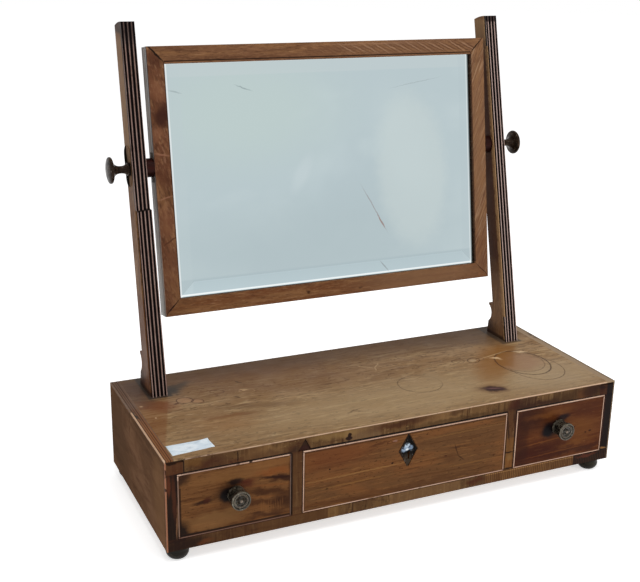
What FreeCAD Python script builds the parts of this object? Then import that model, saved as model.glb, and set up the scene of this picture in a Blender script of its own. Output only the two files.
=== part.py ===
"""Box-base toilet mirror: three drawers, two raked reeded uprights and a swinging mirror.

Millimetres, +Z up, front towards -Y. The pieces are modelled with y = 0 on the front face of
the case and z = 0 on the table, then moved along Y so that the origin is the middle of the
rectangle that the whole object covers.
"""
import FreeCAD, Part
import math
import os

from FreeCAD import Vector

# ---------------------------------------------------------------- driving dimensions

# case
case_width = 560.0
case_depth = 221.0
case_height = 103.0
veneer = 1.5                   # sawn veneers, facings and square stringing
end_thickness = 11.0
top_thickness = 9.0
bottom_thickness = 13.0
back_thickness = 8.0
top_rail_height = 5.5
top_rail_depth = 22.0
divider_width = 13.0
muntin_depth = 20.0
partition_thickness = 7.0
side_opening_width = 126.0
guide_height = 15.0
kicker_width = 10.0
stop_length = 30.0
stop_height = 12.0
stop_depth = 13.0

# veneer work
corner_block_width = 20.0      # short facing at each end of the top rail
corner_block_drop = 2.0        # the block's top edge stays this far below the stringing
banding_width = 8.0            # crossbanding along each side of the top
inner_string_width = 1.0
chip_offset = 7.0              # triangular loss in the top rail facing, from the left muntin
chip_width = 16.0
chip_apex = 8.5
chip_bridge = 0.6              # facing left above the loss

# feet
foot_height = 14.5
foot_radius = 11.9
foot_tip_radius = 6.5
foot_neck = 4.0                # straight part of the bun under the case
foot_swell = 0.93              # radius at a third of the bun's curve, as a share of the full one
foot_margin_left = 3.2         # bun's edge in from the case's sides
foot_margin_right = 6.4
foot_margin_depth = 1.6        # and in from its front and back
spigot_radius = 4.0
spigot_cover = 4.0             # board left over each spigot
spigot_clearance = 0.05

# drawers
front_thickness = 14.0
drawer_side_thickness = 6.0
drawer_back_thickness = 6.0
drawer_bottom_thickness = 4.0
drawer_bottom_raise = 3.0
groove_depth = 3.0
drawer_side_gap = 0.5
drawer_top_gap = 0.8
drawer_run_clearance = 0.1
back_drop = 6.0                # the drawer back stays this far below the sides
tail_depth = 8.0
tail_flare = 2.0
tail_gap = 6.0                 # pin of the front between two tails, at its narrow end
tail_count = 3

# drawer knobs
knob_projection = 18.0
knob_base_radius = 9.0
knob_base_thickness = 2.0
knob_waist_radius = 7.0
knob_face_radius = 10.8
knob_rim = 3.6
knob_bead = 1.0
knob_dish_width = 2.8
knob_dish_depth = 1.1
knob_nub_radius = 3.4
knob_screw_radius = 2.0
knob_screw_cover = 3.0         # drawer front left behind the screw's tip
left_knob_rise = 2.4           # above the middle of the drawer front
right_knob_rise = 6.9
right_knob_offset = -2.5       # along X, from the middle of its drawer

# lock
escutcheon_height = 41.0
escutcheon_width = 22.6
escutcheon_thickness = 1.2
escutcheon_drop = 22.2         # below the drawer's top edge
key_drop = 25.7
key_round_radius = 1.9
key_slot_width = 2.2
key_slot_length = 8.0
lock_width = 42.0
lock_height = 38.0
lock_depth = 8.0
lock_wall = 1.2
bolt_width = 14.0
bolt_thickness = 3.2
bolt_length = 16.0
bolt_clearance = 0.15
bolt_sink = 0.3
lock_screw_radius = 1.5
lock_screw_cover = 2.0
lock_screw_head = 1.0
lock_screw_margin = 5.0

# uprights
upright_back_margin = 15.7     # case top behind the foot of each upright
upright_length = 420.0         # along the raked front edge
upright_rake = 12.8            # degrees back from vertical
upright_depth = 27.0
upright_side_inset = 32.3      # outer face at the case top, in from the case side
upright_side_inset_top = 37.1
upright_width = 17.3
upright_width_top = 15.7
upright_dome = 1.2
ear_height = 41.2
ear_step = 2.5
ear_reach = 45.7
hollow_reach = 38.9
hollow_height = 28.5
bump_height = 16.5
bump_reach = 44.7
base_reach = 46.5
facing_depth = 3.5
tenon_width = 9.0
tenon_depth = 20.0
tenon_cover = 1.0              # board left under each tenon

# reeding on the front of each upright
reed_width = 2.7
reed_count = 3
reed_crown = 0.6               # height of a reed's round
quirk_width = 1.75
quirk_depth = 2.2
quirk_floor = 0.7              # width of a quirk's flat bottom
quirk_shoulder = 1.3           # depth at which a quirk starts to narrow
break_height = 207.0           # old break in the left facing, above the case top
break_shift = 1.7

# pivots
pivot_height = 250.0           # above the case top
spindle_radius = 2.5
running_clearance = 0.05
plate_height = 46.0
plate_width = 21.0
plate_thickness = 1.3
plate_rise = 3.5               # plate's middle above the spindle, along the upright
collar_radius = 10.8
collar_length = 10.1
collar_gap = 0.3
screw_projection = 24.2        # from the plate to the crown of the knob
screw_base_radius = 7.0
screw_base_thickness = 1.2
screw_neck_radius = 4.3
screw_head_radius = 15.0
screw_head_thickness = 5.2
screw_head_rim = 2.4
screw_head_edge = 2.5
screw_seat_gap = 0.2
screw_engagement = 11.5
screw_tip = 0.6
bore_relief = 0.5
nut_plate_height = 34.0
nut_plate_width = 12.0
nut_plate_thickness = 2.5

# mirror frame
frame_above_pivot = 133.5
frame_below_pivot = 171.5
frame_face = 19.2
frame_thickness = 20.0
frame_lip = 3.0
rebate_width = 6.0
frame_tilt = 8.9               # degrees back from vertical
glass_thickness = 4.0
glass_clearance = 0.8
glass_bevel_width = 18.0
glass_bevel_depth = 0.9
slip_size = 5.0
slip_clearance = 0.1
backboard_thickness = 4.0
backboard_inset = 4.4
pin_radius = 0.7
pin_length = 9.0
pin_head = 0.6
pin_margin = 3.0               # outside the rebate
pin_end_margin = 36.0
pins_per_long_side = 5
pins_per_short_side = 4

overshoot = 60.0               # how far cutting and bounding shapes run past the wood

# ---------------------------------------------------------------- derived levels

half_width = case_width / 2
under = foot_height
case_top = under + case_height
core_top = case_top - veneer
top_underside = core_top - top_thickness
floor_level = under + bottom_thickness
opening_top = top_underside - top_rail_height
stile_width = end_thickness + veneer
back_front = case_depth - back_thickness
muntin_back = veneer + muntin_depth

left_opening = (-half_width + stile_width, -half_width + stile_width + side_opening_width)
right_opening = (-left_opening[1], -left_opening[0])
centre_opening = (left_opening[1] + divider_width, right_opening[0] - divider_width)
openings = {"left": left_opening, "centre": centre_opening, "right": right_opening}

drawer_floor = floor_level + drawer_run_clearance
drawer_top = opening_top - drawer_top_gap
drawer_length = back_front - stop_depth - drawer_run_clearance
drawer_middle = (drawer_floor + drawer_top) / 2

rake = math.radians(upright_rake)
upright_rise = upright_length * math.cos(rake)
upright_front = case_depth - upright_back_margin - base_reach
pivot_z = case_top + pivot_height
pivot_y = upright_front + pivot_height * math.tan(rake) + upright_depth / 2 / math.cos(rake)


# ---------------------------------------------------------------- helpers

def box(x0, x1, y0, y1, z0, z1):
    """Box between two values on each axis."""
    return Part.makeBox(x1 - x0, y1 - y0, z1 - z0, Vector(x0, y0, z0))


def rod(start, direction, radius, length):
    """Cylinder from a point along a direction."""
    return Part.makeCylinder(radius, length, start, direction)


def group(solids):
    """Loose pieces of one kind that share one node."""
    return Part.makeCompound(solids)


def mirrored(shape):
    """Copy on the other side of the plane x = 0."""
    return shape.mirror(Vector(0, 0, 0), Vector(1, 0, 0))


def pair(solid):
    """A left piece and its right twin in one node."""
    return group([solid, mirrored(solid)])


def prism(points, push):
    """Solid from a flat polygon, pushed along a vector."""
    return Part.Face(Part.makePolygon(points + [points[0]])).extrude(push)


def outline(start, moves):
    """Closed wire from a start point; each move is an end point, or (middle, end) for an arc."""
    edges = []
    here = start
    for move in list(moves) + [start]:
        if isinstance(move, tuple):
            middle, end = move
            edges.append(Part.Arc(here, middle, end).toShape())
        else:
            end = move
            edges.append(Part.makeLine(here, end))
        here = end
    return Part.Wire(edges)


def turned(profile, origin, axis, side):
    """Solid of revolution. The profile gives (radius, height) steps; an arc is a pair of them."""
    def place(step):
        return origin + side * step[0] + axis * step[1]

    moves = []
    for step in profile[1:]:
        if isinstance(step[0], tuple):
            moves.append((place(step[0]), place(step[1])))
        else:
            moves.append(place(step))
    wire = outline(place(profile[0]), moves)
    return Part.Face(wire).revolve(origin, axis, 360)


def dome_middle(radius, low, high):
    """Middle step of a crown's arc, from (radius, low) to (0, high), centred on the axis."""
    ball = (radius ** 2 + (high - low) ** 2) / (2 * (high - low))
    half_angle = math.asin(radius / ball) / 2
    return ball * math.sin(half_angle), high - ball * (1 - math.cos(half_angle))


def cut_all(shape, tools):
    """Shape with every tool taken away."""
    for tool in tools:
        shape = shape.cut(tool)
    return shape


# ---------------------------------------------------------------- case

def carcase_boards():
    """Boards of the box: top, bottom, two ends, back and the rail over the drawers."""
    core = half_width - veneer
    inside = core - end_thickness
    tenons = [upright_tenon(-1), upright_tenon(1)]
    top = box(-core, core, veneer, case_depth, top_underside, core_top)
    bottom = box(-core, core, veneer, case_depth, under, floor_level)
    end = box(-core, -inside, veneer, case_depth, floor_level, top_underside)
    back = box(-inside, inside, back_front, case_depth, floor_level, top_underside)
    rail = box(-inside, inside, veneer, veneer + top_rail_depth, opening_top, top_underside)
    return {
        "top_board": cut_all(top, tenons),
        "bottom_board": cut_all(bottom, spigot_sockets()),
        "left_end": end,
        "right_end": mirrored(end),
        "back_board": back,
        "front_top_rail": rail.cut(bolt_mortise()),
    }


def bolt_mortise():
    """Slot in the rail that the lock bolt rises into."""
    y_mid = bolt_middle()
    half = bolt_width / 2 + 2 * bolt_clearance
    deep = bolt_thickness / 2 + 2 * bolt_clearance
    return box(-half, half, y_mid - deep, y_mid + deep, opening_top, top_underside)


def dividers():
    """Muntins and the partitions behind them."""
    half = divider_width / 2
    middle = left_opening[1] + half
    thin = partition_thickness / 2
    muntin = box(middle - half, middle + half, veneer, muntin_back, floor_level, opening_top)
    partition = box(middle - thin, middle + thin, muntin_back, back_front, floor_level, opening_top)
    return {"muntins": pair(muntin), "partitions": pair(partition)}


def runners():
    """Strips that guide the drawers, keep them from tipping, and stop them at the back."""
    guide_width = (divider_width - partition_thickness) / 2
    guides = []
    for x0 in (left_opening[1], centre_opening[0] - guide_width):
        guide = box(x0, x0 + guide_width, muntin_back, back_front, floor_level,
                    floor_level + guide_height)
        guides += [guide, mirrored(guide)]
    kickers = []
    for x0, x1 in ((left_opening[0], left_opening[0] + kicker_width),
                   (left_opening[1] - kicker_width, centre_opening[0] + kicker_width)):
        kicker = box(x0, x1, veneer + top_rail_depth, back_front, opening_top, top_underside)
        kickers += [kicker, mirrored(kicker)]
    stops = []
    for x0, x1 in openings.values():
        x = (x0 + x1) / 2
        stops.append(box(x - stop_length / 2, x + stop_length / 2, back_front - stop_depth,
                         back_front, floor_level, floor_level + stop_height))
    return {
        "drawer_guides": group(guides),
        "drawer_kickers": group(kickers),
        "drawer_stops": group(stops),
    }


def chip():
    """Triangular loss that runs through the top rail facing."""
    x0 = left_opening[1] + chip_offset
    points = [
        Vector(x0, 0, opening_top),
        Vector(x0 + chip_width, 0, opening_top),
        Vector(x0 + chip_apex, 0, core_top - chip_bridge),
    ]
    return prism(points, Vector(0, veneer, 0))


def veneers():
    """Veneers on the top and ends, facings on the front edges, and boxwood stringing."""
    core = half_width - veneer
    band = core - banding_width
    field = band - inner_string_width
    top_veneer = box(-field, field, veneer, case_depth, core_top, case_top)
    banding = box(-core, -band, veneer, case_depth, core_top, case_top)
    end_veneer = box(-half_width, -core, veneer, case_depth, under, core_top)

    block_in = half_width - corner_block_width
    block = box(-core, -block_in, 0, veneer, opening_top, core_top - corner_block_drop)
    rail_facing = box(-block_in, block_in, 0, veneer, opening_top, core_top).cut(chip())
    stile = box(-core, left_opening[0], 0, veneer, floor_level, opening_top)
    muntin_facing = box(left_opening[1], centre_opening[0], 0, veneer, floor_level, opening_top)
    bottom_facing = box(-core, core, 0, veneer, under, floor_level)

    front_string = box(-block_in, half_width, 0, veneer, core_top, case_top)
    side_string = box(-half_width, -core, veneer, case_depth, core_top, case_top)
    corner_string = box(-half_width, -core, 0, veneer, under, core_top)
    inner_string = box(-band, -field, veneer, case_depth, core_top, case_top)
    strings = [front_string]
    for string in (side_string, corner_string, inner_string):
        strings += [string, mirrored(string)]
    return {
        "top_veneer": cut_all(top_veneer, [upright_tenon(-1), upright_tenon(1)]),
        "top_banding": pair(banding),
        "end_veneers": pair(end_veneer),
        "top_rail_facing": rail_facing,
        "bottom_rail_facing": bottom_facing,
        "corner_facings": pair(block),
        "stile_facings": pair(stile),
        "muntin_facings": pair(muntin_facing),
        "case_stringing": group(strings),
    }


def foot_places():
    """Middles of the four feet at table level."""
    left = -half_width + foot_margin_left + foot_radius
    right = half_width - foot_margin_right - foot_radius
    inset = foot_margin_depth + foot_radius
    return [Vector(x, y, 0) for x in (left, right) for y in (inset, case_depth - inset)]


def spigot_sockets():
    """Holes in the bottom board for the feet's spigots."""
    radius = spigot_radius + spigot_clearance
    up = Vector(0, 0, 1)
    return [rod(place + up * under, up, radius, bottom_thickness - spigot_cover)
            for place in foot_places()]


def feet():
    """Four turned half-bun feet, each with a spigot glued into the bottom board."""
    bun = under - foot_neck
    tip = under + bottom_thickness - spigot_cover
    profile = [
        (0, 0),
        (foot_tip_radius, 0),
        ((foot_swell * foot_radius, bun / 3), (foot_radius, bun)),
        (foot_radius, under),
        (spigot_radius, under),
        (spigot_radius, tip),
        (0, tip),
    ]
    up = Vector(0, 0, 1)
    return {"feet": group([turned(profile, place, up, Vector(1, 0, 0)) for place in foot_places()])}


# ---------------------------------------------------------------- drawers

def tails(x0, x1):
    """Dovetails at the front end of one drawer side."""
    pitch = (drawer_top - drawer_floor) / tail_count
    neck = pitch - 2 * tail_flare - tail_gap
    root = front_thickness
    tip = front_thickness - tail_depth
    solids = []
    for index in range(tail_count):
        middle = drawer_floor + (index + 0.5) * pitch
        low = middle - neck / 2
        high = middle + neck / 2
        points = [
            Vector(x0, root, low),
            Vector(x0, tip, low - tail_flare),
            Vector(x0, tip, high + tail_flare),
            Vector(x0, root, high),
        ]
        solids.append(prism(points, Vector(x1 - x0, 0, 0)))
    return solids


def drawer_shell(name):
    """Front, dovetailed sides, back, bottom and stringing of one drawer."""
    x0 = openings[name][0] + drawer_side_gap
    x1 = openings[name][1] - drawer_side_gap
    inner0 = x0 + drawer_side_thickness
    inner1 = x1 - drawer_side_thickness
    bottom_low = drawer_floor + drawer_bottom_raise
    bottom_high = bottom_low + drawer_bottom_thickness
    panel = box(inner0 - groove_depth, inner1 + groove_depth, front_thickness - groove_depth,
                drawer_length, bottom_low, bottom_high)
    sides = []
    for side0, side1 in ((x0, inner0), (inner1, x1)):
        side = box(side0, side1, front_thickness, drawer_length, drawer_floor, drawer_top)
        side = side.fuse(tails(side0, side1)).removeSplitter()
        sides.append(side.cut(panel))
    outer = box(x0, x1, 0, veneer, drawer_floor, drawer_top)
    inner = box(x0 + veneer, x1 - veneer, 0, veneer, drawer_floor + veneer, drawer_top - veneer)
    stringing = outer.cut(inner)
    front = box(x0, x1, 0, front_thickness, drawer_floor, drawer_top)
    back = box(inner0, inner1, drawer_length - drawer_back_thickness, drawer_length,
               bottom_high, drawer_top - back_drop)
    return {
        name + "_drawer_front": cut_all(front, [stringing, panel] + sides),
        name + "_drawer_sides": group(sides),
        name + "_drawer_back": back,
        name + "_drawer_bottom": panel,
        name + "_drawer_stringing": stringing,
    }


def knob(x, z):
    """Turned brass knob with a dished face and a wood screw, standing on the drawer front."""
    rear = knob_projection - knob_rim
    dish = knob_projection - knob_dish_depth
    tip = front_thickness - knob_screw_cover
    profile = [
        (0, -tip),
        (knob_screw_radius, knob_screw_radius - tip),
        (knob_screw_radius, 0),
        (knob_base_radius, 0),
        (knob_base_radius, knob_base_thickness),
        ((knob_waist_radius, rear / 2), (knob_face_radius - knob_bead, rear - knob_bead)),
        (knob_face_radius, rear),
        (knob_face_radius, knob_projection - knob_bead),
        (knob_face_radius - knob_bead, knob_projection),
        (knob_face_radius - 2 * knob_bead, knob_projection),
        (knob_face_radius - knob_dish_width, dish),
        (knob_nub_radius, dish),
        (dome_middle(knob_nub_radius, dish, knob_projection), (0, knob_projection)),
    ]
    return turned(profile, Vector(x, 0, z), Vector(0, -1, 0), Vector(1, 0, 0))


def side_drawers():
    """The two small drawers with their knobs."""
    places = {
        "left": (sum(left_opening) / 2, drawer_middle + left_knob_rise),
        "right": (sum(right_opening) / 2 + right_knob_offset, drawer_middle + right_knob_rise),
    }
    pieces = {}
    for name, (x, z) in places.items():
        shell = drawer_shell(name)
        pilot = rod(Vector(x, 0, z), Vector(0, 1, 0), knob_screw_radius,
                    front_thickness - knob_screw_cover)
        shell[name + "_drawer_front"] = shell[name + "_drawer_front"].cut(pilot)
        shell[name + "_drawer_knob"] = knob(x, z)
        pieces.update(shell)
    return pieces


def bolt_middle():
    """Y of the middle of the lock bolt."""
    return front_thickness - lock_depth / 2


def keyhole(y0, y1):
    """Round eye over a narrow slot, pushed through from y0 to y1."""
    z = drawer_top - key_drop
    eye = rod(Vector(0, y0, z), Vector(0, 1, 0), key_round_radius, y1 - y0)
    slot = box(-key_slot_width / 2, key_slot_width / 2, y0, y1, z - key_slot_length, z)
    return eye.fuse(slot).removeSplitter()


def lozenge(y0, y1):
    """Escutcheon's diamond, from y0 to y1."""
    z = drawer_top - escutcheon_drop
    points = [
        Vector(0, y0, z + escutcheon_height / 2),
        Vector(escutcheon_width / 2, y0, z),
        Vector(0, y0, z - escutcheon_height / 2),
        Vector(-escutcheon_width / 2, y0, z),
    ]
    return prism(points, Vector(0, y1 - y0, 0))


def lock_screws():
    """Four screws through the lock's back plate into the drawer front, and their holes."""
    x = lock_width / 2 - lock_screw_margin
    heights = (drawer_top - lock_height + lock_screw_margin, drawer_top - lock_screw_margin)
    screws = []
    holes = []
    for place_x in (-x, x):
        for z in heights:
            tip = Vector(place_x, lock_screw_cover, z)
            inward = Vector(0, 1, 0)
            shank = rod(tip, inward, lock_screw_radius, front_thickness - lock_screw_cover)
            seat = Vector(place_x, front_thickness, z)
            head = rod(seat, inward, 2 * lock_screw_radius, lock_screw_head)
            screws.append(shank.fuse(head).removeSplitter())
            holes.append(shank)
    return screws, holes


def lock_body(y0, y1):
    """Lock case, hollow below the channel that the bolt slides in, and the bolt."""
    half = lock_width / 2
    low = drawer_top - lock_height
    y_mid = bolt_middle()
    half_bolt = bolt_width / 2
    half_thick = bolt_thickness / 2
    bolt_high = drawer_top - bolt_sink
    bolt_low = bolt_high - bolt_length
    gap = bolt_clearance
    bolt = box(-half_bolt, half_bolt, y_mid - half_thick, y_mid + half_thick, bolt_low, bolt_high)
    channel = box(-half_bolt - gap, half_bolt + gap, y_mid - half_thick - gap,
                  y_mid + half_thick + gap, bolt_low - gap, drawer_top)
    hollow = box(lock_wall - half, half - lock_wall, y0 + lock_wall, y1 - lock_wall,
                 low + lock_wall, bolt_low - gap - lock_wall)
    case = box(-half, half, y0, y1, low, drawer_top)
    return cut_all(case, [channel, hollow, keyhole(y0, y0 + lock_wall)]), bolt


def centre_drawer():
    """The wide drawer with its lock and escutcheon."""
    pieces = drawer_shell("centre")
    y0 = front_thickness - lock_depth
    y1 = front_thickness
    case, bolt = lock_body(y0, y1)
    screws, holes = lock_screws()
    recess = box(-lock_width / 2, lock_width / 2, y0, y1, drawer_top - lock_height, drawer_top)
    plate = lozenge(0, escutcheon_thickness)
    front = pieces["centre_drawer_front"]
    pieces["centre_drawer_front"] = cut_all(front, [recess, plate, keyhole(0, y0)] + holes)
    pieces["escutcheon"] = plate.cut(keyhole(0, escutcheon_thickness))
    pieces["lock_case"] = cut_all(case, holes)
    pieces["lock_bolt"] = bolt
    pieces["lock_screws"] = group(screws)
    return pieces


# ---------------------------------------------------------------- uprights

def on_upright(along, back):
    """Y and Z of a point measured along an upright's front edge and square back from it."""
    y = upright_front + along * math.sin(rake) + back * math.cos(rake)
    z = case_top + along * math.cos(rake) - back * math.sin(rake)
    return y, z


def outer_at(height):
    """X of the left upright's outer face at a height over the case top."""
    taper = (upright_side_inset_top - upright_side_inset) / upright_rise
    return -half_width + upright_side_inset + height * taper


def inner_at(height):
    """X of the left upright's inner face at a height over the case top."""
    taper = (upright_width_top - upright_width) / upright_rise
    return outer_at(height) + upright_width + height * taper


def upright_slab():
    """Region between the tapering outer and inner faces of the left upright."""
    low = -overshoot
    high = upright_rise + overshoot
    points = [
        Vector(outer_at(low), -overshoot, case_top + low),
        Vector(inner_at(low), -overshoot, case_top + low),
        Vector(inner_at(high), -overshoot, case_top + high),
        Vector(outer_at(high), -overshoot, case_top + high),
    ]
    return prism(points, Vector(0, 2 * case_depth + 2 * overshoot, 0))


def side_push():
    """Sweep that carries a side view of the left upright across its whole width."""
    return Vector(upright_side_inset_top + 2 * upright_width, 0, 0)


def upright_profile():
    """Side view of an upright: raked front, domed top, eared and hollowed back near the base."""
    x = -half_width

    def at(y, z):
        return Vector(x, y, z)

    def reach(distance, height):
        return at(upright_front + distance, case_top + height)

    back_at_ear = upright_depth / math.cos(rake) + ear_height * math.tan(rake)
    top_middle = on_upright(upright_length + upright_dome, upright_depth / 2)
    moves = [
        at(*on_upright(upright_length, 0)),
        (at(*top_middle), at(*on_upright(upright_length, upright_depth))),
        reach(back_at_ear, ear_height),
        reach(ear_reach, ear_height),
        reach(ear_reach, ear_height - ear_step),
        (reach(hollow_reach, hollow_height), reach(bump_reach, bump_height)),
        reach(ear_reach, bump_height / 2),
        reach(base_reach, 0),
    ]
    return Part.Face(outline(reach(0, 0), moves)).extrude(side_push())


def facing_region():
    """Front layer of the upright's side view, where the reeded facing goes."""
    x = -half_width
    level = facing_depth / math.cos(rake)
    high = upright_rise + overshoot
    lean = high * math.tan(rake)
    points = [
        Vector(x, upright_front, case_top),
        Vector(x, upright_front + level, case_top),
        Vector(x, upright_front + level + lean, case_top + high),
        Vector(x, upright_front + lean, case_top + high),
    ]
    return prism(points, side_push())


def upright_tenon(side):
    """Tenon under one upright; side is -1 for left and 1 for right."""
    x = side * (half_width - upright_side_inset - upright_width / 2)
    y = upright_front + (facing_depth + base_reach) / 2
    return box(x - tenon_width / 2, x + tenon_width / 2, y - tenon_depth / 2, y + tenon_depth / 2,
               top_underside + tenon_cover, case_top)


def reeding_cuts():
    """Quirks between the reeds and the rounds over them, leaning with the left upright."""
    base_middle = (outer_at(0) + inner_at(0)) / 2
    lean = ((outer_at(upright_rise) + inner_at(upright_rise)) / 2 - base_middle) / upright_rise
    length = upright_rise + 2 * overshoot
    push = Vector(length * lean, length * math.tan(rake), length)
    start_x = base_middle - overshoot * lean
    y = upright_front - overshoot * math.tan(rake)
    z = case_top - overshoot
    pitch = reed_width + quirk_width
    clear = y - quirk_depth
    cuts = []
    for index in range(reed_count + 1):
        x = start_x + (index - reed_count / 2) * pitch
        half = quirk_width / 2
        flat = quirk_floor / 2
        points = [
            Vector(x - half, clear, z),
            Vector(x + half, clear, z),
            Vector(x + half, y + quirk_shoulder, z),
            Vector(x + flat, y + quirk_depth, z),
            Vector(x - flat, y + quirk_depth, z),
            Vector(x - half, y + quirk_shoulder, z),
        ]
        cuts.append(prism(points, push))
    for index in range(reed_count):
        x = start_x + (index + 0.5 - reed_count / 2) * pitch
        half = reed_width / 2
        left = Vector(x - half, y + reed_crown, z)
        right = Vector(x + half, y + reed_crown, z)
        moves = [left, (Vector(x, y, z), right), Vector(x + half, clear, z)]
        cuts.append(Part.Face(outline(Vector(x - half, clear, z), moves)).extrude(push))
    return cuts


def uprights():
    """Boards with their tenons, and the reeded facings on their fronts."""
    slab = upright_slab()
    side_view = upright_profile()
    front_layer = facing_region()
    board = side_view.cut(front_layer).common(slab)
    board = board.fuse(upright_tenon(-1)).removeSplitter().cut(pivot_bore())
    facing = cut_all(side_view.common(front_layer).common(slab), reeding_cuts())
    join = case_top + break_height
    far = 2 * case_width
    above = box(-far, far, -far, far, join, join + far)
    lower = facing.cut(above)
    lower.translate(Vector(break_shift, 0, 0))
    return {
        "left_upright": board,
        "right_upright": mirrored(board),
        "left_reeding_upper": facing.common(above),
        "left_reeding_lower": lower,
        "right_reeding": mirrored(facing),
    }


# ---------------------------------------------------------------- pivots

def frame_side():
    """X of the outer edge of the frame's left stile."""
    return inner_at(pivot_height) + collar_length + collar_gap


def pivot_bore():
    """Hole along X for the left pivot screw, through whatever it passes."""
    end = frame_side() + screw_engagement + bore_relief
    start = Vector(-half_width, pivot_y, pivot_z)
    return rod(start, Vector(1, 0, 0), spindle_radius + running_clearance, end + half_width)


def pivot_plate():
    """Brass plate with round ends on the outer face of the left upright, flush with its back."""
    x0 = outer_at(pivot_height) - plate_thickness
    x1 = x0 + 2 * plate_thickness
    radius = plate_width / 2
    straight = plate_height / 2 - radius
    y = pivot_y + (upright_depth - plate_width) / 2
    z = pivot_z + plate_rise
    body = box(x0, x1, y - radius, y + radius, z - straight, z + straight)
    for end in (z - straight, z + straight):
        body = body.fuse(rod(Vector(x0, y, end), Vector(1, 0, 0), radius, x1 - x0))
    body = body.removeSplitter()
    body.rotate(Vector(0, pivot_y, pivot_z), Vector(1, 0, 0), -upright_rake)
    return cut_all(body, [upright_slab(), pivot_bore()])


def pivot_collar():
    """Turned spacer between the left upright and the mirror frame."""
    x0 = inner_at(pivot_height) - plate_thickness
    x1 = frame_side() - collar_gap
    ring = rod(Vector(x0, pivot_y, pivot_z), Vector(1, 0, 0), collar_radius, x1 - x0)
    return cut_all(ring, [upright_slab(), pivot_bore()])


def pivot_screw():
    """Brass knob and spindle in one, through the left upright into the frame."""
    seat = outer_at(pivot_height) - plate_thickness - screw_seat_gap
    tip = frame_side() + screw_engagement - seat
    rear = screw_projection - screw_head_thickness
    flare = (screw_neck_radius + screw_base_radius) / 2
    profile = [
        (0, -tip),
        (spindle_radius - screw_tip, -tip),
        (spindle_radius, screw_tip - tip),
        (spindle_radius, 0),
        (screw_base_radius, 0),
        (screw_base_radius, screw_base_thickness),
        ((flare, rear / 5), (screw_neck_radius, rear / 2)),
        ((flare, rear * 4 / 5), (screw_head_radius - screw_head_edge, rear)),
        (screw_head_radius, rear + screw_tip),
        (screw_head_radius, rear + screw_head_rim),
        (dome_middle(screw_head_radius, rear + screw_head_rim, screw_projection), (0, screw_projection)),
    ]
    return turned(profile, Vector(seat, pivot_y, pivot_z), Vector(-1, 0, 0), Vector(0, 0, 1))


def nut_plate():
    """Tapped brass plate let into the outer edge of the left stile."""
    x0 = frame_side()
    plate = box(x0, x0 + nut_plate_thickness, pivot_y - nut_plate_width / 2,
                pivot_y + nut_plate_width / 2, pivot_z - nut_plate_height / 2,
                pivot_z + nut_plate_height / 2)
    return plate.cut(pivot_bore())


def pivots():
    """Everything on the two pivot axes."""
    screw = pivot_screw()
    return {
        "pivot_plates": pair(pivot_plate()),
        "pivot_collars": pair(pivot_collar()),
        "left_pivot_screw": screw,
        "right_pivot_screw": mirrored(screw),
    }


# ---------------------------------------------------------------- mirror

def frame_levels():
    """Outer half width, bottom, top and front of the frame before it is tilted."""
    return (-frame_side(), pivot_z - frame_below_pivot, pivot_z + frame_above_pivot,
            pivot_y - frame_thickness / 2)


def inset_box(inset, y0, y1):
    """Box inside the frame's outline, y0 to y1 behind its front."""
    half, low, high, front = frame_levels()
    return box(inset - half, half - inset, front + y0, front + y1, low + inset, high - inset)


def frame_ring(inset0, inset1, y0, y1):
    """Rectangular ring between two insets from the frame's outer edge."""
    return inset_box(inset0, y0, y1).cut(inset_box(inset1, y0, y1))


def quarters():
    """Regions of the four frame members, bounded by the mitres."""
    half, low, high, front = frame_levels()
    face = frame_face + rebate_width
    outer = [Vector(x, front, z) for x, z in ((-half, low), (half, low), (half, high), (-half, high))]
    inner = [Vector(x, front, z) for x, z in (
        (face - half, low + face), (half - face, low + face),
        (half - face, high - face), (face - half, high - face))]
    names = ("frame_bottom_rail", "frame_right_stile", "frame_top_rail", "frame_left_stile")
    regions = {}
    for index, name in enumerate(names):
        following = (index + 1) % 4
        points = [outer[index], outer[following], inner[following], inner[index]]
        regions[name] = prism(points, Vector(0, frame_thickness, 0))
    return regions


def glass_plate():
    """Plate glass with a shallow bevel on its front."""
    edge = frame_face - rebate_width + glass_clearance
    run = edge + glass_bevel_width + rebate_width - glass_clearance
    flat = frame_lip + glass_bevel_depth
    sheet = inset_box(edge, flat, frame_lip + glass_thickness)
    half, low, high, front = frame_levels()

    def rectangle(inset, y):
        corners = [Vector(inset - half, y, low + inset), Vector(half - inset, y, low + inset),
                   Vector(half - inset, y, high - inset), Vector(inset - half, y, high - inset)]
        return Part.makePolygon(corners + [corners[0]])

    table = rectangle(run, front + frame_lip)
    foot = rectangle(edge, front + flat)
    return sheet.fuse(Part.makeLoft([foot, table], True, True)).removeSplitter()


def spread(start, end, count):
    """Evenly spaced values from start to end."""
    return [start + index * (end - start) / (count - 1) for index in range(count)]


def backboard_pins():
    """Headed pins that hold the backboard to the frame's back."""
    half, low, high, front = frame_levels()
    face = front + frame_thickness + backboard_thickness
    line = frame_face - rebate_width - pin_margin
    across = spread(pin_end_margin - half, half - pin_end_margin, pins_per_long_side)
    up = spread(low + pin_end_margin, high - pin_end_margin, pins_per_short_side)
    places = [(x, z) for x in across for z in (low + line, high - line)]
    places += [(x, z) for z in up for x in (line - half, half - line)]
    pins = []
    for x, z in places:
        start = Vector(x, face, z)
        shank = rod(start, Vector(0, -1, 0), pin_radius, pin_length)
        head = rod(start, Vector(0, 1, 0), 2 * pin_radius, pin_head)
        pins.append(shank.fuse(head).removeSplitter())
    return pins


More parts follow.
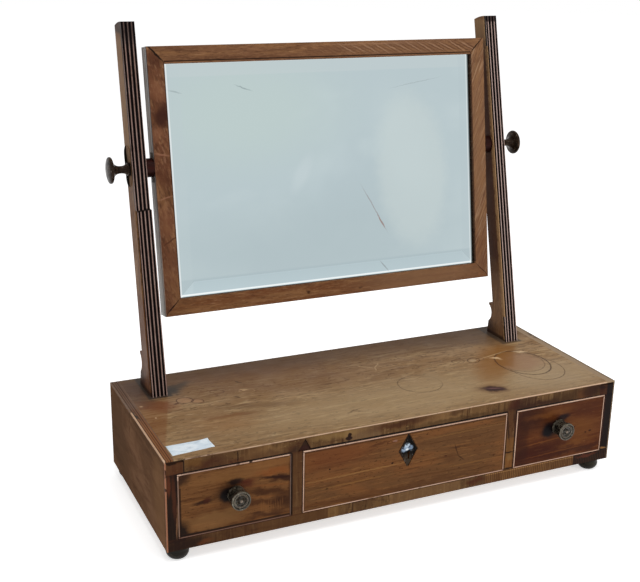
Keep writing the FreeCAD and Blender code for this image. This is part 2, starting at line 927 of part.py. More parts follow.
def mirror():
    """Mitred frame, glass, slips behind it and backboard, tilted about the pivot axis."""
    edge = frame_face - rebate_width
    lip = frame_ring(0, frame_face, 0, frame_lip)
    body = frame_ring(0, edge, frame_lip, frame_thickness)
    pins = backboard_pins()
    nut = nut_plate()
    bore = pivot_bore()
    fittings = pins + [nut, mirrored(nut), bore, mirrored(bore)]
    ring = cut_all(lip.fuse(body).removeSplitter(), fittings)
    regions = quarters()
    slip_front = frame_lip + glass_thickness
    slips = frame_ring(edge + slip_clearance, edge + slip_clearance + slip_size, slip_front,
                       slip_front + slip_size)
    board = inset_box(backboard_inset, frame_thickness, frame_thickness + backboard_thickness)
    pieces = {name: ring.common(region) for name, region in regions.items()}
    pieces["mirror_glass"] = glass_plate()
    pieces["glazing_slips"] = group([slips.common(region) for region in regions.values()])
    pieces["mirror_backboard"] = cut_all(board, pins)
    pieces["backboard_pins"] = group(pins)
    pieces["nut_plates"] = pair(nut)
    for shape in pieces.values():
        shape.rotate(Vector(0, pivot_y, pivot_z), Vector(1, 0, 0), -frame_tilt)
    return pieces


# ---------------------------------------------------------------- assembly

def all_pieces():
    """Every node by name, with the origin under the middle of the whole object."""
    pieces = {}
    for maker in (carcase_boards, dividers, runners, veneers, feet, side_drawers, centre_drawer,
                  uprights, pivots, mirror):
        pieces.update(maker())
    bounds = Part.makeCompound(list(pieces.values())).BoundBox
    middle_y = (bounds.YMin + bounds.YMax) / 2
    for shape in pieces.values():
        shape.translate(Vector(0, -middle_y, 0))
    return pieces, middle_y


pieces, middle_y = all_pieces()
os.makedirs("parts", exist_ok=True)
for node, shape in pieces.items():
    shape.exportStep("parts/" + node + ".step")

print(len(pieces), "nodes; case front at y", round(-middle_y, 3))
print("pivot axis at y", round(pivot_y - middle_y, 3), "z", round(pivot_z, 3))
print("drawer bay heights", floor_level, opening_top, "drawer", drawer_floor, drawer_top, drawer_length)
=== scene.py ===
# %% [markdown]
# # Dressing a box toilet mirror
#
# The joiner's part is done: a low case with three drawers, two raked uprights
# and a swinging mirror, all packed as the frame. This lesson gives every
# surface its finish: faded mahogany veneer, pale stringing, blackened reeds,
# old brass, silvered glass. The knobs and the escutcheon are drawn again with
# more detail than a solid needs, and a paper label is added.

# %% Load the frame
import math

import bmesh
import bpy
from mathutils import Matrix, Vector


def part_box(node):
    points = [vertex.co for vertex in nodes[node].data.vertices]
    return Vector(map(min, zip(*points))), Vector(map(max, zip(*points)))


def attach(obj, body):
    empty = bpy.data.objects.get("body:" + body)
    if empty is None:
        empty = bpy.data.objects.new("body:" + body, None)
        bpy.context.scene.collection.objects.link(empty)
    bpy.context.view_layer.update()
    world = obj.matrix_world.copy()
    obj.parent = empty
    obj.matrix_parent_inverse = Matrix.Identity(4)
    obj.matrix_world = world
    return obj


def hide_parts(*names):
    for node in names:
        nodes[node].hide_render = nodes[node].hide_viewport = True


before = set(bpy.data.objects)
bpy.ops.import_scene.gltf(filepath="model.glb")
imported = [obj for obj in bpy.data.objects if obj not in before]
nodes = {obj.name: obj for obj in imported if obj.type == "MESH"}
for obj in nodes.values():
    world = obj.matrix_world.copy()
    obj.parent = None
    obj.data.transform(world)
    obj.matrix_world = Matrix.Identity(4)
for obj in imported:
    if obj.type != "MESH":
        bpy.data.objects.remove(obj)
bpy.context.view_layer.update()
MM = 0.001

# %% [markdown]
# ## Colours and nodes
#
# Finishes are written down as sRGB hex values, the way a paint card gives
# them. Blender's sockets want linear light, so one function turns them.
# A second function adds a node: its settings are attributes, its inputs are
# either plain values or sockets to link. The short ones after it name the nodes
# that come again and again. Everything below is made of these.

# %% Hex to linear
def colour(code):
    """An sRGB hex colour as linear red, green, blue and alpha."""
    parts = [int(code[i:i + 2], 16) / 255 for i in (1, 3, 5)]
    return [c / 12.92 if c <= 0.04045 else ((c + 0.055) / 1.055) ** 2.4 for c in parts] + [1.0]


print("box wood in linear light:", [round(v, 3) for v in colour("#c9a48c")])

# %% One node
def put(tree, kind, inputs=None, **settings):
    """Adds a shader node, sets its attributes, then fills or links its inputs."""
    node = tree.nodes.new("ShaderNode" + kind)
    for name, value in settings.items():
        setattr(node, name, value)
    for key, value in (inputs or {}).items():
        if isinstance(value, bpy.types.NodeSocket):
            tree.links.new(value, node.inputs[key])
        else:
            node.inputs[key].default_value = value
    return node


# %% Nodes that come again
def maths(tree, operation, *values):
    """One sum of numbers."""
    return put(tree, "Math", dict(enumerate(values)), operation=operation).outputs[0]


def vector(tree, operation, *values):
    """One sum of vectors; a length and a dot product come out as numbers."""
    node = put(tree, "VectorMath", dict(enumerate(values)), operation=operation)
    return node.outputs["Value" if operation in ("LENGTH", "DOT_PRODUCT") else "Vector"]


def coordinate(tree, place, index):
    """One coordinate of a place."""
    return put(tree, "SeparateXYZ", {0: place}).outputs[index]


def ramp(tree, value, start, end, low=0.0, high=1.0, curve="LINEAR"):
    """Carries a value from start..end to low..high, and holds it there outside."""
    return put(tree, "MapRange", {0: value, 1: start, 2: end, 3: low, 4: high},
               interpolation_type=curve).outputs[0]


def lay(tree, mask, shade, over):
    """Lays one colour over another, as far as a mask lets it through."""
    return put(tree, "Mix", {0: mask, 6: shade, 7: over}, data_type="RGBA").outputs[2]


# %% [markdown]
# ## Where a mark lies
#
# Every piece keeps its vertices in one shared frame, so Object coordinates are
# true places. Scaled to millimetres, they let a stain or a scratch be
# put where it lies, and it stays there when a drawer slides out.

# %% A new finish
def begin(name, sockets):
    """A material with a Principled shader, and its coordinates in millimetres."""
    material = bpy.data.materials.new(name)
    material.use_nodes = True
    tree = material.node_tree
    tree.nodes.clear()
    shader = put(tree, "BsdfPrincipled", sockets)
    put(tree, "OutputMaterial", {"Surface": shader.outputs[0]})
    place = put(tree, "TexCoord").outputs["Object"]
    mm = put(tree, "VectorMath", {0: place, 3: 1 / MM}, operation="SCALE").outputs[0]
    return material, tree, shader, mm


# %% [markdown]
# ## Grain
#
# Wood seen at this size is a few noises drawn out along the grain: broad
# clouds of colour, streaks a few millimetres wide, and dark dashes for the open
# pores. Real pores are finer than a render of this size can show, so they are
# drawn coarser. Each row is one wash: its colour, the size of the noise in
# millimetres along X, Y and Z, the two levels it lies between, and its strength.

# %% Washes of drawn-out noise
APART = 7.3  # how far each wash's noise is moved from the one before


def wash(tree, mm, shade, rows, seed=0.0):
    """Lays colours over a shade, each where a drawn-out noise is high."""
    for index, (code, size, low, high, strength) in enumerate(rows):
        shift = seed + APART * (index + 1)
        drawn = put(tree, "Mapping", {"Vector": mm, "Location": (shift, -shift, 2 * shift),
                                      "Scale": [1 / s for s in size]}).outputs[0]
        noise = put(tree, "TexNoise", {"Vector": drawn, "Scale": 1.0, "Detail": 3.0,
                                       "Roughness": 0.6, "Distortion": 0.3}).outputs[0]
        shade = lay(tree, ramp(tree, noise, low, high, 0.0, strength, "SMOOTHSTEP"), shade, colour(code))
    return shade


# %% [markdown]
# ## Marks
#
# Two centuries leave rings, burns, scratches and grime. A mark is a shape in one
# plane, turned and softened. A spot and a dash are filled ellipses, the spot with
# the looser edge, and a ring follows an ellipse's line. Their coordinates are first
# shaken a little by noise, so that no stain's edge is too true. A patch is a
# rectangle and a groove a ring that aren't shaken, for joints and for turned metal.

# %% Marks at their places
PLANES = {"top": (0, 1, 2), "front": (0, 2, 1), "end": (1, 2, 0)}
LOOSE, CLOSE = (14.0, 7.0), (4.0, 1.2)  # grit and reach of the shaking, in mm
FAR = 1e4  # mm, further than the piece goes, along the axis a mark runs through


def shaken(tree, mm, grit, reach):
    """Coordinates moved about by a noise of one grit size, by up to reach mm."""
    noise = put(tree, "TexNoise", {"Vector": mm, "Scale": 1 / grit, "Detail": 3.0}).outputs[1]
    around = vector(tree, "SUBTRACT", noise, (0.5, 0.5, 0.5))
    return vector(tree, "MULTIPLY_ADD", around, (2 * reach,) * 3, mm)


def mark(tree, mm, shade, plane, rows):
    """Lays marks over a shade: kind, across, along, half sizes, turn, colour, strength, softness."""
    first, second, through = PLANES[plane]
    loose, close = shaken(tree, mm, *LOOSE), shaken(tree, mm, *CLOSE)
    places = {"spot": loose, "dash": close, "ring": close, "patch": mm, "groove": mm}
    for kind, a, b, ra, rb, turn, code, strength, soft in rows:
        least = min(ra, rb)
        centre, reach, spin = [0.0] * 3, [FAR] * 3, [0.0] * 3
        centre[first], centre[second] = a, b
        reach[first], reach[second] = (least, least) if kind == "patch" else (ra, rb)
        spin[through] = math.radians(-turn if plane == "front" else turn)
        near = put(tree, "Mapping", {"Vector": places[kind], "Location": centre, "Rotation": spin,
                                     "Scale": reach}, vector_type="TEXTURE").outputs[0]
        if kind == "patch":
            longer = [0.0] * 3
            longer[first], longer[second] = ra / least - 1, rb / least - 1
            sides = vector(tree, "SUBTRACT", vector(tree, "ABSOLUTE", near), longer)
            axes = put(tree, "SeparateXYZ", {0: sides}).outputs
            away = maths(tree, "MAXIMUM", axes[first], axes[second])
        else:
            away = vector(tree, "LENGTH", near)
        edge = (1 - soft, 1 + soft)
        if kind in ("ring", "groove"):
            away = maths(tree, "ABSOLUTE", maths(tree, "SUBTRACT", away, 1.0))
            edge = (0.0, soft)
        shade = lay(tree, ramp(tree, away, *edge, strength, 0.0, "SMOOTHSTEP"), shade, colour(code))
    return shade


# %% [markdown]
# ## Closing a finish
#
# The last step is the same for every finish. Roughness wanders a little, as
# old wax does, and the grain's own darks are pressed in as bump, because pores and
# open joints are both dark and low. Stains lie on the surface, so they are left
# out of the bump.

# %% Finish a shade
def worn(tree, mm, grit, start, end, low, high, detail=3.0):
    """A number that wanders from low to high with a noise of one grit size in mm."""
    noise = put(tree, "TexNoise", {"Vector": mm, "Scale": 1 / grit, "Detail": detail}).outputs[0]
    return ramp(tree, noise, start, end, low, high)


def finish(tree, shader, mm, shade, grain, rough, relief):
    """Links a shade to the shader, with wandering roughness and the grain's darks pressed in."""
    level = worn(tree, mm, 30, 0.3, 0.7, *rough, detail=4.0)
    height = put(tree, "RGBToBW", {0: grain}).outputs[0]
    bump = put(tree, "Bump", {"Strength": relief, "Distance": 0.4 * MM, "Height": height}).outputs[0]
    for socket, value in (("Base Color", shade), ("Roughness", level), ("Normal", bump)):
        tree.links.new(value, shader.inputs[socket])


def dress(material, *names):
    """Gives the named nodes one material."""
    for name in names:
        nodes[name].data.materials.clear()
        nodes[name].data.materials.append(material)
    print(material.name, "on:", ", ".join(names) or "a piece drawn here")


# %% [markdown]
# ## All steps in one
#
# Most pieces want nothing more than these steps in this order, so one function
# does them. Metals may add a noise by which the metallic value wanders, between
# bare metal and its dull skin.

# %% A coat
def coat(name, sockets, base, washes, rough, relief, marks=(), on=(), seed=0.0, rubbed=None):
    """Washes over a base colour, marks plane by plane, the close, and the nodes it goes on."""
    material, tree, shader, mm = begin(name, sockets)
    grain = shade = wash(tree, mm, colour(base), washes, seed)
    for plane, rows in marks:
        shade = mark(tree, mm, shade, plane, rows)
    finish(tree, shader, mm, shade, grain, rough, relief)
    if rubbed:
        tree.links.new(worn(tree, mm, *rubbed), shader.inputs["Metallic"])
    dress(material, *on)
    return material


# %% [markdown]
# ## The top: faded mahogany veneer, French polished
#
# One wide leaf of mahogany, its grain along the length, bleached by a
# window to a pale olive tan. The shellac has worn to a satin film, so its
# reflection is set low. Glasses have left rings and something hot has left a burn.
# Round the feet of the uprights the top is darker with painted shade and grime.

# %% Top veneer
SHELLAC = {"IOR": 1.5, "Specular IOR Level": 0.06}
TOP_MARKS = [
    # broad changes of colour
    ("spot", 40, -80, 230, 48, 0, "#a08866", 0.55, 0.6),
    ("spot", 225, -90, 60, 40, 0, "#9d886b", 0.45, 0.6),
    ("spot", -179, -50, 30, 5, -2, "#5f3a20", 0.7, 0.7),
    ("spot", -190, -66, 34, 22, 0, "#84592f", 0.4, 0.7),
    ("spot", -130, 66, 120, 22, -2, "#5a3d2f", 0.6, 0.6),
    ("spot", 20, 84, 330, 44, 0, "#4f351f", 0.8, 0.7),
    ("spot", -90, 20, 120, 34, -8, "#66452a", 0.55, 0.7),
    ("spot", -255, 60, 26, 40, 0, "#5a4030", 0.5, 0.5),
    ("patch", -279.5, -33.6, 30, 60, -18.3, "#6f4122", 0.5, 0.05),
    ("spot", -244, 2, 20, 14, -20, "#6a3a24", 0.6, 0.6),
    # dark spots by the foot of the left upright: painted shade with grime
    ("spot", -224, 40, 14, 12, -40, "#2b2a28", 0.85, 0.6),
    ("spot", -210, 50, 16, 8, 20, "#3a332d", 0.75, 0.6),
    ("spot", -262, 40, 22, 34, 0, "#453029", 0.6, 0.6),
    ("spot", -145, -34, 45, 6, -14, "#65492f", 0.5, 0.7),
    ("ring", 215, -60, 33, 38, 0, "#4c3323", 0.8, 0.03),
    ("spot", 205, -34, 31, 27, 0, "#8c6b50", 0.8, 0.35),
    ("spot", 176, -24, 22, 66, -36, "#80562b", 0.75, 0.6),
    ("patch", 202, -10, 12, 36, -36, "#7b5024", 0.5, 0.25),
    ("spot", 190, 66, 80, 24, 0, "#523d2c", 0.6, 0.7),
    # painted shade and grime round the feet of the uprights
    ("patch", 237.5, 58, 15, 33, 0, "#3b332d", 0.75, 0.12),
    ("patch", -237.5, 58, 14, 33, 0, "#2e2925", 0.8, 0.12),
    ("spot", 205, 40, 25, 14, -30, "#5a4534", 0.5, 0.7),
    # burn
    ("spot", 130, -96, 18, 11, -18, "#5c3a26", 0.6, 0.6),
    ("spot", 130, -96, 14, 6.5, -18, "#32201f", 0.95, 0.4),
    ("dash", 131, -95, 9, 1.5, -18, "#6c4b47", 0.75, 0.6),
    # rings left by glasses
    ("ring", 209.5, -39, 32, 40, 0, "#3c2416", 0.9, 0.045),
    ("ring", 208, -34, 30, 34, 0, "#553a28", 0.6, 0.04),
    ("ring", 57, -50, 27, 25, 0, "#4a3221", 0.65, 0.045),
    ("spot", 83, -44, 9, 20, 0, "#8f7656", 0.7, 0.6),
    ("ring", 136, -6, 8, 6, 0, "#4d3322", 0.8, 0.14),
    ("ring", 156, -10, 9, 7, 30, "#3f2617", 0.85, 0.16),
    ("dash", 155, -10, 5, 4, 30, "#a98f6d", 0.6, 0.4),
    ("ring", 166, -9, 5, 4, 0, "#5a402c", 0.7, 0.2),
    ("spot", 187, -14, 7, 3, -40, "#cfae84", 0.8, 0.6),
    ("dash", 190, -3, 26, 1.0, 14, "#b89c74", 0.55, 0.6),
    ("spot", 228, -8, 9, 1.8, -22, "#cdb08a", 0.8, 0.5),
    # crazing and spills by the left upright
    ("dash", -215, 8, 8, 7, -20, "#9a7353", 0.5, 0.4),
    ("dash", -202, 1, 6, 5, -20, "#9a7353", 0.5, 0.4),
    ("ring", -215, 8, 9.5, 8.0, -20, "#4a2a1c", 0.9, 0.15),
    ("ring", -202, 1, 7, 5.6, -20, "#4a2a1c", 0.9, 0.18),
    ("dash", -226, 3, 4, 2, 20, "#4a2a1c", 0.8, 0.4),
    ("ring", -173, 18, 8, 5, -20, "#4a3020", 0.7, 0.16),
    ("ring", -140, 8, 9, 6, -20, "#a5835c", 0.4, 0.14),
    ("ring", -178, -84, 7, 5, -20, "#6a4c31", 0.5, 0.14),
    ("spot", -157, -4, 4, 1.6, -30, "#3c2a1d", 0.7, 0.5),
    ("spot", -140, 36, 5, 1.2, -50, "#3c2a1d", 0.7, 0.5),
    ("dash", -265, 10, 1.8, 1.6, 0, "#b08f6e", 0.7, 0.6),
    ("dash", -258, -25, 1.0, 1.6, 0, "#c0a07c", 0.8, 0.6),
    ("spot", -141, 11, 5, 1.6, -20, "#b3946c", 0.6, 0.5),
    # small scars
    ("spot", -49, -90, 9, 1.6, 25, "#4a3524", 0.6, 0.6),
    ("spot", -44, -94, 5, 1.2, -30, "#4a3524", 0.6, 0.6),
    ("spot", 21, 22, 11, 1.0, -40, "#a78c69", 0.6, 0.5),
    ("spot", 34, 16, 12, 1.0, 60, "#a78c69", 0.6, 0.5),
]
coat("faded mahogany veneer French-polished", SHELLAC, "#80613f", [
    ("#937654", (160, 45, 45), 0.42, 0.62, 0.8),
    ("#6b4d31", (190, 11, 11), 0.48, 0.70, 0.65),
    ("#a08460", (120, 5, 5), 0.52, 0.72, 0.45),
    ("#573c24", (60, 6, 6), 0.53, 0.67, 0.55),
    ("#ab9069", (40, 6, 6), 0.55, 0.68, 0.55),
    ("#563b23", (22, 3.4, 3.4), 0.54, 0.66, 0.5),
    ("#b09773", (16, 3.2, 3.2), 0.56, 0.68, 0.4),
    ("#3a2413", (8, 3.6, 3.6), 0.58, 0.66, 0.6),
], (0.42, 0.55), 0.3, marks=[("top", TOP_MARKS)], on=["top_veneer"])
print("marks on the top:", len(TOP_MARKS))

# %% [markdown]
# ## Lines round the top
#
# At both ends of the top a narrow dark line and a strip of veneer run from
# front to back. On the left the strip has gone brown; on the right its edge is
# chipped near the back, and the strip itself has bleached with the top.

# %% Top banding
coat("dyed wood line let into the veneer", SHELLAC, "#7c5c40", [
    ("#8f7152", (9, 70, 9), 0.45, 0.7, 0.7),
    ("#553a27", (3, 26, 4), 0.5, 0.7, 0.6),
], (0.4, 0.55), 0.3, marks=[("top", [
    ("patch", 275, -20, 7, 112, 0, "#8f7a60", 0.85, 0.1),
    ("patch", -275, -62, 8, 68, 0, "#7a4a2a", 0.7, 0.1),
    ("spot", -275, 50, 8, 70, 0, "#4f372b", 0.7, 0.6),
    ("patch", -272.9, -20, 0.5, 111, 0, "#2d1b11", 0.85, 0.4),
    ("patch", -275.3, -20, 0.4, 111, 0, "#3a2416", 0.7, 0.4),
    ("patch", -278.0, -20, 0.5, 111, 0, "#2d1b11", 0.85, 0.4),
    ("spot", -277.0, -10, 1.8, 12, 0, "#2a2821", 0.9, 0.4),
    ("patch", 278.1, -20, 0.6, 111, 0, "#3b2c20", 0.85, 0.4),
    ("spot", 277, 36, 3.2, 11, 0, "#2a1c14", 0.9, 0.4),
    ("spot", 275, 38, 1.6, 6, 0, "#b09575", 0.5, 0.5),
])], on=["top_banding"])

# %% [markdown]
# ## Crossbanding: mahogany cut across the grain
#
# The rails and stiles of the front are faced with thin strips whose grain
# stands upright, so the light catches them as fine vertical bars, like a
# tiger's. Pieces have been lost and let in again from darker wood. The strips
# share one finish, and the marks say where the dark lengths are.

# %% Crossbanding
cross_finish, tree, shader, mm = begin("crossbanded mahogany French-polished", SHELLAC)
grain = shade = wash(tree, mm, colour("#513821"), [
    ("#6b4e2f", (30, 30, 60), 0.40, 0.62, 0.7),
    ("#3a2211", (5, 5, 60), 0.50, 0.68, 0.7),
    ("#7f6240", (3.2, 3, 40), 0.53, 0.70, 0.6),
    ("#2a180d", (2.6, 2, 18), 0.57, 0.70, 0.6),
    ("#3a1d11", (40, 8, 8), 0.56, 0.68, 0.6),
    ("#8a6e49", (5, 3, 3.0), 0.62, 0.72, 0.6),
    ("#1d100a", (4, 3, 2.2), 0.62, 0.70, 0.7),
])
shade = mark(tree, mm, shade, "front", [
    # broad changes of tone along both rails
    ("patch", 36, 109, 30, 8, 0, "#8a6842", 0.45, 0.35),
    ("patch", -58, 109, 22, 8, 0, "#7d6246", 0.4, 0.35),
    ("spot", -187, 109, 11, 12, 0, "#452816", 0.6, 0.6),
    ("patch", -132, 21, 48, 7, 0, "#74532f", 0.5, 0.3),
    ("patch", 24, 21, 46, 7, 0, "#7b5b3b", 0.5, 0.3),
    # top rail
    ("spot", -90, 113, 30, 4, 0, "#86683f", 0.6, 0.6),
    ("spot", -172, 108, 22, 7, 0, "#7b5a38", 0.5, 0.6),
    ("spot", -12, 112, 40, 4, 0, "#4a2613", 0.5, 0.6),
    ("spot", -243, 110, 12, 4, 0, "#3f1c0b", 0.6, 0.6),
    ("spot", -231, 108, 20, 6, 4, "#3f2014", 0.6, 0.6),
    ("spot", -248, 112, 9, 5, 0, "#6b4a26", 0.6, 0.6),
    ("spot", -206, 104, 10, 4, 0, "#401b11", 0.6, 0.6),
    ("spot", -160, 105, 30, 4, 0, "#3a1f14", 0.5, 0.6),
    ("patch", -270, 109, 9, 8, 0, "#4c2411", 0.5, 0.2),
    ("spot", -5, 113, 26, 3.5, 3, "#331b10", 0.6, 0.7),
    ("spot", 58, 114, 9, 4, 0, "#2f140b", 0.6, 0.6),
    ("spot", 60, 105, 60, 3.0, 0, "#33200f", 0.6, 0.6),
    ("spot", 138, 110, 10, 6, 0, "#39140b", 0.75, 0.6),
    ("spot", 170, 104, 40, 4, 0, "#2c160d", 0.8, 0.6),
    ("spot", 225, 108, 40, 6, 0, "#35200f", 0.7, 0.6),
    ("spot", 153, 110, 13, 9, 0, "#2c150d", 0.6, 0.6),
    ("spot", 237, 107, 10, 6, 0, "#6a4023", 0.55, 0.6),
    ("spot", 246, 110, 14, 8, 0, "#27130c", 0.8, 0.6),
    ("dash", -202, 109, 0.6, 7, 3, "#150b07", 0.9, 0.5),
    ("dash", -74.8, 106.4, 4.2, 2.8, 0, "#1c0c09", 0.97, 0.25),
    ("dash", -74.0, 109.6, 2.2, 2.6, 0, "#1c0c09", 0.97, 0.25),
    # painted shadow in the gaps over the drawers and beside them
    ("patch", 0, 101.9, 129, 1.4, 0, "#0d0705", 0.95, 0.3),
    ("patch", -204, 101.8, 62, 1.0, 0, "#0d0705", 0.92, 0.4),
    ("patch", 180, 101.8, 40, 1.2, 0, "#120a07", 0.95, 0.4),
    ("patch", 240, 101.5, 25, 0.7, 0, "#120a07", 0.85, 0.4),
    ("patch", -141.0, 64, 1.2, 37, 0, "#0d0705", 0.9, 0.4),
    ("patch", 140.8, 64, 1.5, 37, 0, "#0d0705", 0.95, 0.4),
    ("patch", -129.0, 64, 0.6, 37, 0, "#2a1710", 0.8, 0.4),
    ("patch", 129.2, 64, 0.6, 37, 0, "#1d110b", 0.8, 0.4),
    ("patch", 0, 27.2, 268, 0.5, 0, "#24140c", 0.7, 0.4),
    # corner blocks and stiles
    ("patch", -270, 109, 10, 7, 0, "#4b2c1a", 0.6, 0.1),
    ("patch", -259.9, 109, 0.6, 8, 0, "#100907", 0.9, 0.4),
    ("spot", -272, 115.5, 9, 1.6, 0, "#150d09", 0.8, 0.5),
    ("patch", -270, 63, 10.5, 39, 0, "#140907", 0.93, 0.06),
    ("dash", -276.2, 90, 2.0, 11, 0, "#5c301c", 0.7, 0.5),
    ("dash", -271, 76, 2.0, 24, 2, "#4f2a18", 0.6, 0.6),
    ("dash", -268.0, 50, 0.9, 24, -3, "#8a6246", 0.6, 0.5),
    ("patch", 271, 62, 12, 39.5, 0, "#0d0607", 0.97, 0.04),
    ("patch", 266, 109, 7, 8, 0, "#32160d", 0.85, 0.15),
    ("patch", 274.5, 108, 5, 9, 0, "#0d0607", 0.95, 0.2),
    ("spot", 262, 112, 6, 2.5, 0, "#1b0c08", 0.8, 0.6),
    ("dash", 273, 29, 5, 1.8, -20, "#8a6238", 0.9, 0.5),
    ("dash", 268.3, 70, 0.5, 30, 0, "#43221a", 0.7, 0.5),
    # bottom rail
    ("patch", -190, 21, 92, 7, 0, "#3f2212", 0.6, 0.08),
    ("spot", -262, 20, 26, 9, 0, "#190c09", 0.85, 0.6),
    ("spot", -238, 18, 8, 2.2, 0, "#6a3a1e", 0.4, 0.6),
    ("spot", 90, 22, 13, 3.0, 0, "#45200f", 0.7, 0.5),
    ("patch", 166, 21, 62, 7, 0, "#8a5a30", 0.25, 0.08),
    ("patch", 166, 25.8, 62, 0.5, 0, "#b98b58", 0.5, 0.4),
    ("patch", 257, 21, 28.5, 8, 0, "#100808", 0.95, 0.03),
    ("spot", 246, 25, 14, 1.8, 0, "#5a2a1c", 0.7, 0.6),
    # muntins
    ("spot", -138, 103, 9, 4, 0, "#2c1a12", 0.7, 0.6),
    ("spot", 135, 84, 7, 18, 0, "#46220f", 0.5, 0.6),
    ("patch", 135, 54, 5, 14, 0, "#704822", 0.6, 0.3),
    ("patch", 135, 36, 5, 7, 0, "#774a22", 0.6, 0.3),
    ("patch", -135, 64, 5.4, 38, 0, "#4c2d17", 0.55, 0.2),
    ("dash", 134, 50, 7, 0.8, 0, "#140b07", 0.9, 0.5),
    ("dash", 135, 43, 3, 4, 0, "#7a5a34", 0.6, 0.5),
    ("dash", 135, 29, 7, 1.0, 0, "#140b07", 0.9, 0.5),
    ("dash", 131.5, 78, 0.9, 14, 8, "#1d100a", 0.8, 0.6),
    ("dash", 138.0, 92, 0.8, 8, 3, "#1d100a", 0.8, 0.6),
])
# narrow bars on the right half of the bottom rail, 2.6 mm apart
bars = put(tree, "TexWave", {"Vector": mm, "Scale": 0.12, "Distortion": 3.0, "Detail": 2.0,
                             "Detail Scale": 0.4}, bands_direction="X").outputs[1]
right_half = ramp(tree, coordinate(tree, mm, 0), 101.0, 106.0)
on_rail = ramp(tree, coordinate(tree, mm, 2), 27.0, 26.5)
bars = maths(tree, "MULTIPLY", ramp(tree, bars, 0.45, 0.95, 0.0, 0.8), on_rail)
shade = lay(tree, maths(tree, "MULTIPLY", bars, right_half), shade, colour("#3a210f"))
finish(tree, shader, mm, shade, grain, (0.4, 0.55), 0.3)
dress(cross_finish, "top_rail_facing", "bottom_rail_facing", "corner_facings", "stile_facings",
      "muntin_facings")

# %% [markdown]
# ## Ends of the case
#
# The ends are plain mahogany veneer, their grain from front to back. They were never
# in the sun, so they have kept a dull dark brown, a little lighter
# towards the front edge where hands polish them.

# %% End veneers
coat("dark mahogany veneer waxed", {"IOR": 1.5, "Specular IOR Level": 0.0}, "#6c4f3b", [
    ("#85634b", (40, 60, 40), 0.42, 0.64, 0.7),
    ("#543d2f", (30, 70, 14), 0.48, 0.70, 0.55),
    ("#88654b", (20, 26, 5), 0.54, 0.74, 0.35),
    ("#432f25", (8, 12, 1.4), 0.60, 0.76, 0.4),
], (0.42, 0.58), 0.2, marks=[("end", [
    ("spot", 62, 62, 46, 60, 0, "#5a4536", 0.4, 0.6),
    ("spot", -108, 66, 22, 55, 0, "#886546", 0.4, 0.6),
    ("patch", -128.6, 64, 2.4, 60, 0, "#37281e", 0.5, 0.4),
    ("spot", -40, 112, 90, 4, 0, "#4b392c", 0.4, 0.6),
    ("spot", 6, 100, 1.0, 16, 8, "#433227", 0.5, 0.6),
])], on=["end_veneers"])

# %% [markdown]
# ## Stringing
#
# Lines of box wood, one and a half millimetres wide, let into the edges. Boxwood
# starts yellow and close, and under old polish and a warm light it looks a
# pinkish cream. Along the left of the top it has darkened towards the back, and
# the corners of the case have their own tints.

# %% Case stringing
coat("boxwood stringing", SHELLAC, "#c7a88c", [
    ("#d8b497", (25, 25, 25), 0.45, 0.65, 0.6),
    ("#8f6a50", (9, 9, 9), 0.55, 0.72, 0.6),
    ("#5e4231", (3.5, 3.5, 3.5), 0.63, 0.74, 0.7),
], (0.45, 0.6), 0.25, marks=[("front", [
    ("patch", -281, 64, 3.5, 52, 0, "#8d5437", 0.85, 0.2),
    ("spot", -279, 104, 2.2, 3.5, 0, "#22120c", 0.9, 0.4),
    ("spot", -279, 87, 2.2, 3.0, 0, "#22120c", 0.9, 0.4),
    # a blue grey painted reflection down the right front edge
    ("patch", 281, 64, 3.5, 52, 0, "#5f6266", 0.85, 0.2),
    ("patch", 0, 116.2, 279, 0.4, 0, "#57391f", 0.8, 0.4),
    ("patch", -268, 118, 10, 1.8, 0, "#3a251a", 0.85, 0.1),
    ("patch", 190, 117, 86, 1.0, 0, "#d6b396", 0.5, 0.3),
    ("spot", -225, 117, 28, 1.6, 0, "#6f4a33", 0.5, 0.6),
    ("spot", -170, 117, 16, 1.4, 0, "#6a3f2c", 0.5, 0.6),
]), ("top", [
    ("patch", -279.3, 50, 3.0, 52, 0, "#5c4432", 0.9, 0.1),
    ("patch", -279.3, -62, 2.0, 62, 0, "#a98260", 0.5, 0.1),
    ("patch", 275.5, -20, 7.0, 112, 0, "#8a745a", 0.9, 0.1),
    ("patch", 280.2, -20, 0.9, 112, 0, "#4a3c31", 0.9, 0.3),
    ("patch", 0, -129.0, 270, 0.95, 0, "#8a6e4f", 0.96, 0.2),
    ("spot", -240, -130, 14, 1.6, 0, "#4a3122", 0.8, 0.5),
])], on=["case_stringing"])

# %% [markdown]
# Each drawer has its own string round the edge of its front. Most pieces of the
# drawers come in threes, so their names are made by a function.

# %% Drawer stringing
def three(piece):
    """The names of one piece on the left, centre and right drawers."""
    return [side + "_drawer_" + piece for side in ("left", "centre", "right")]


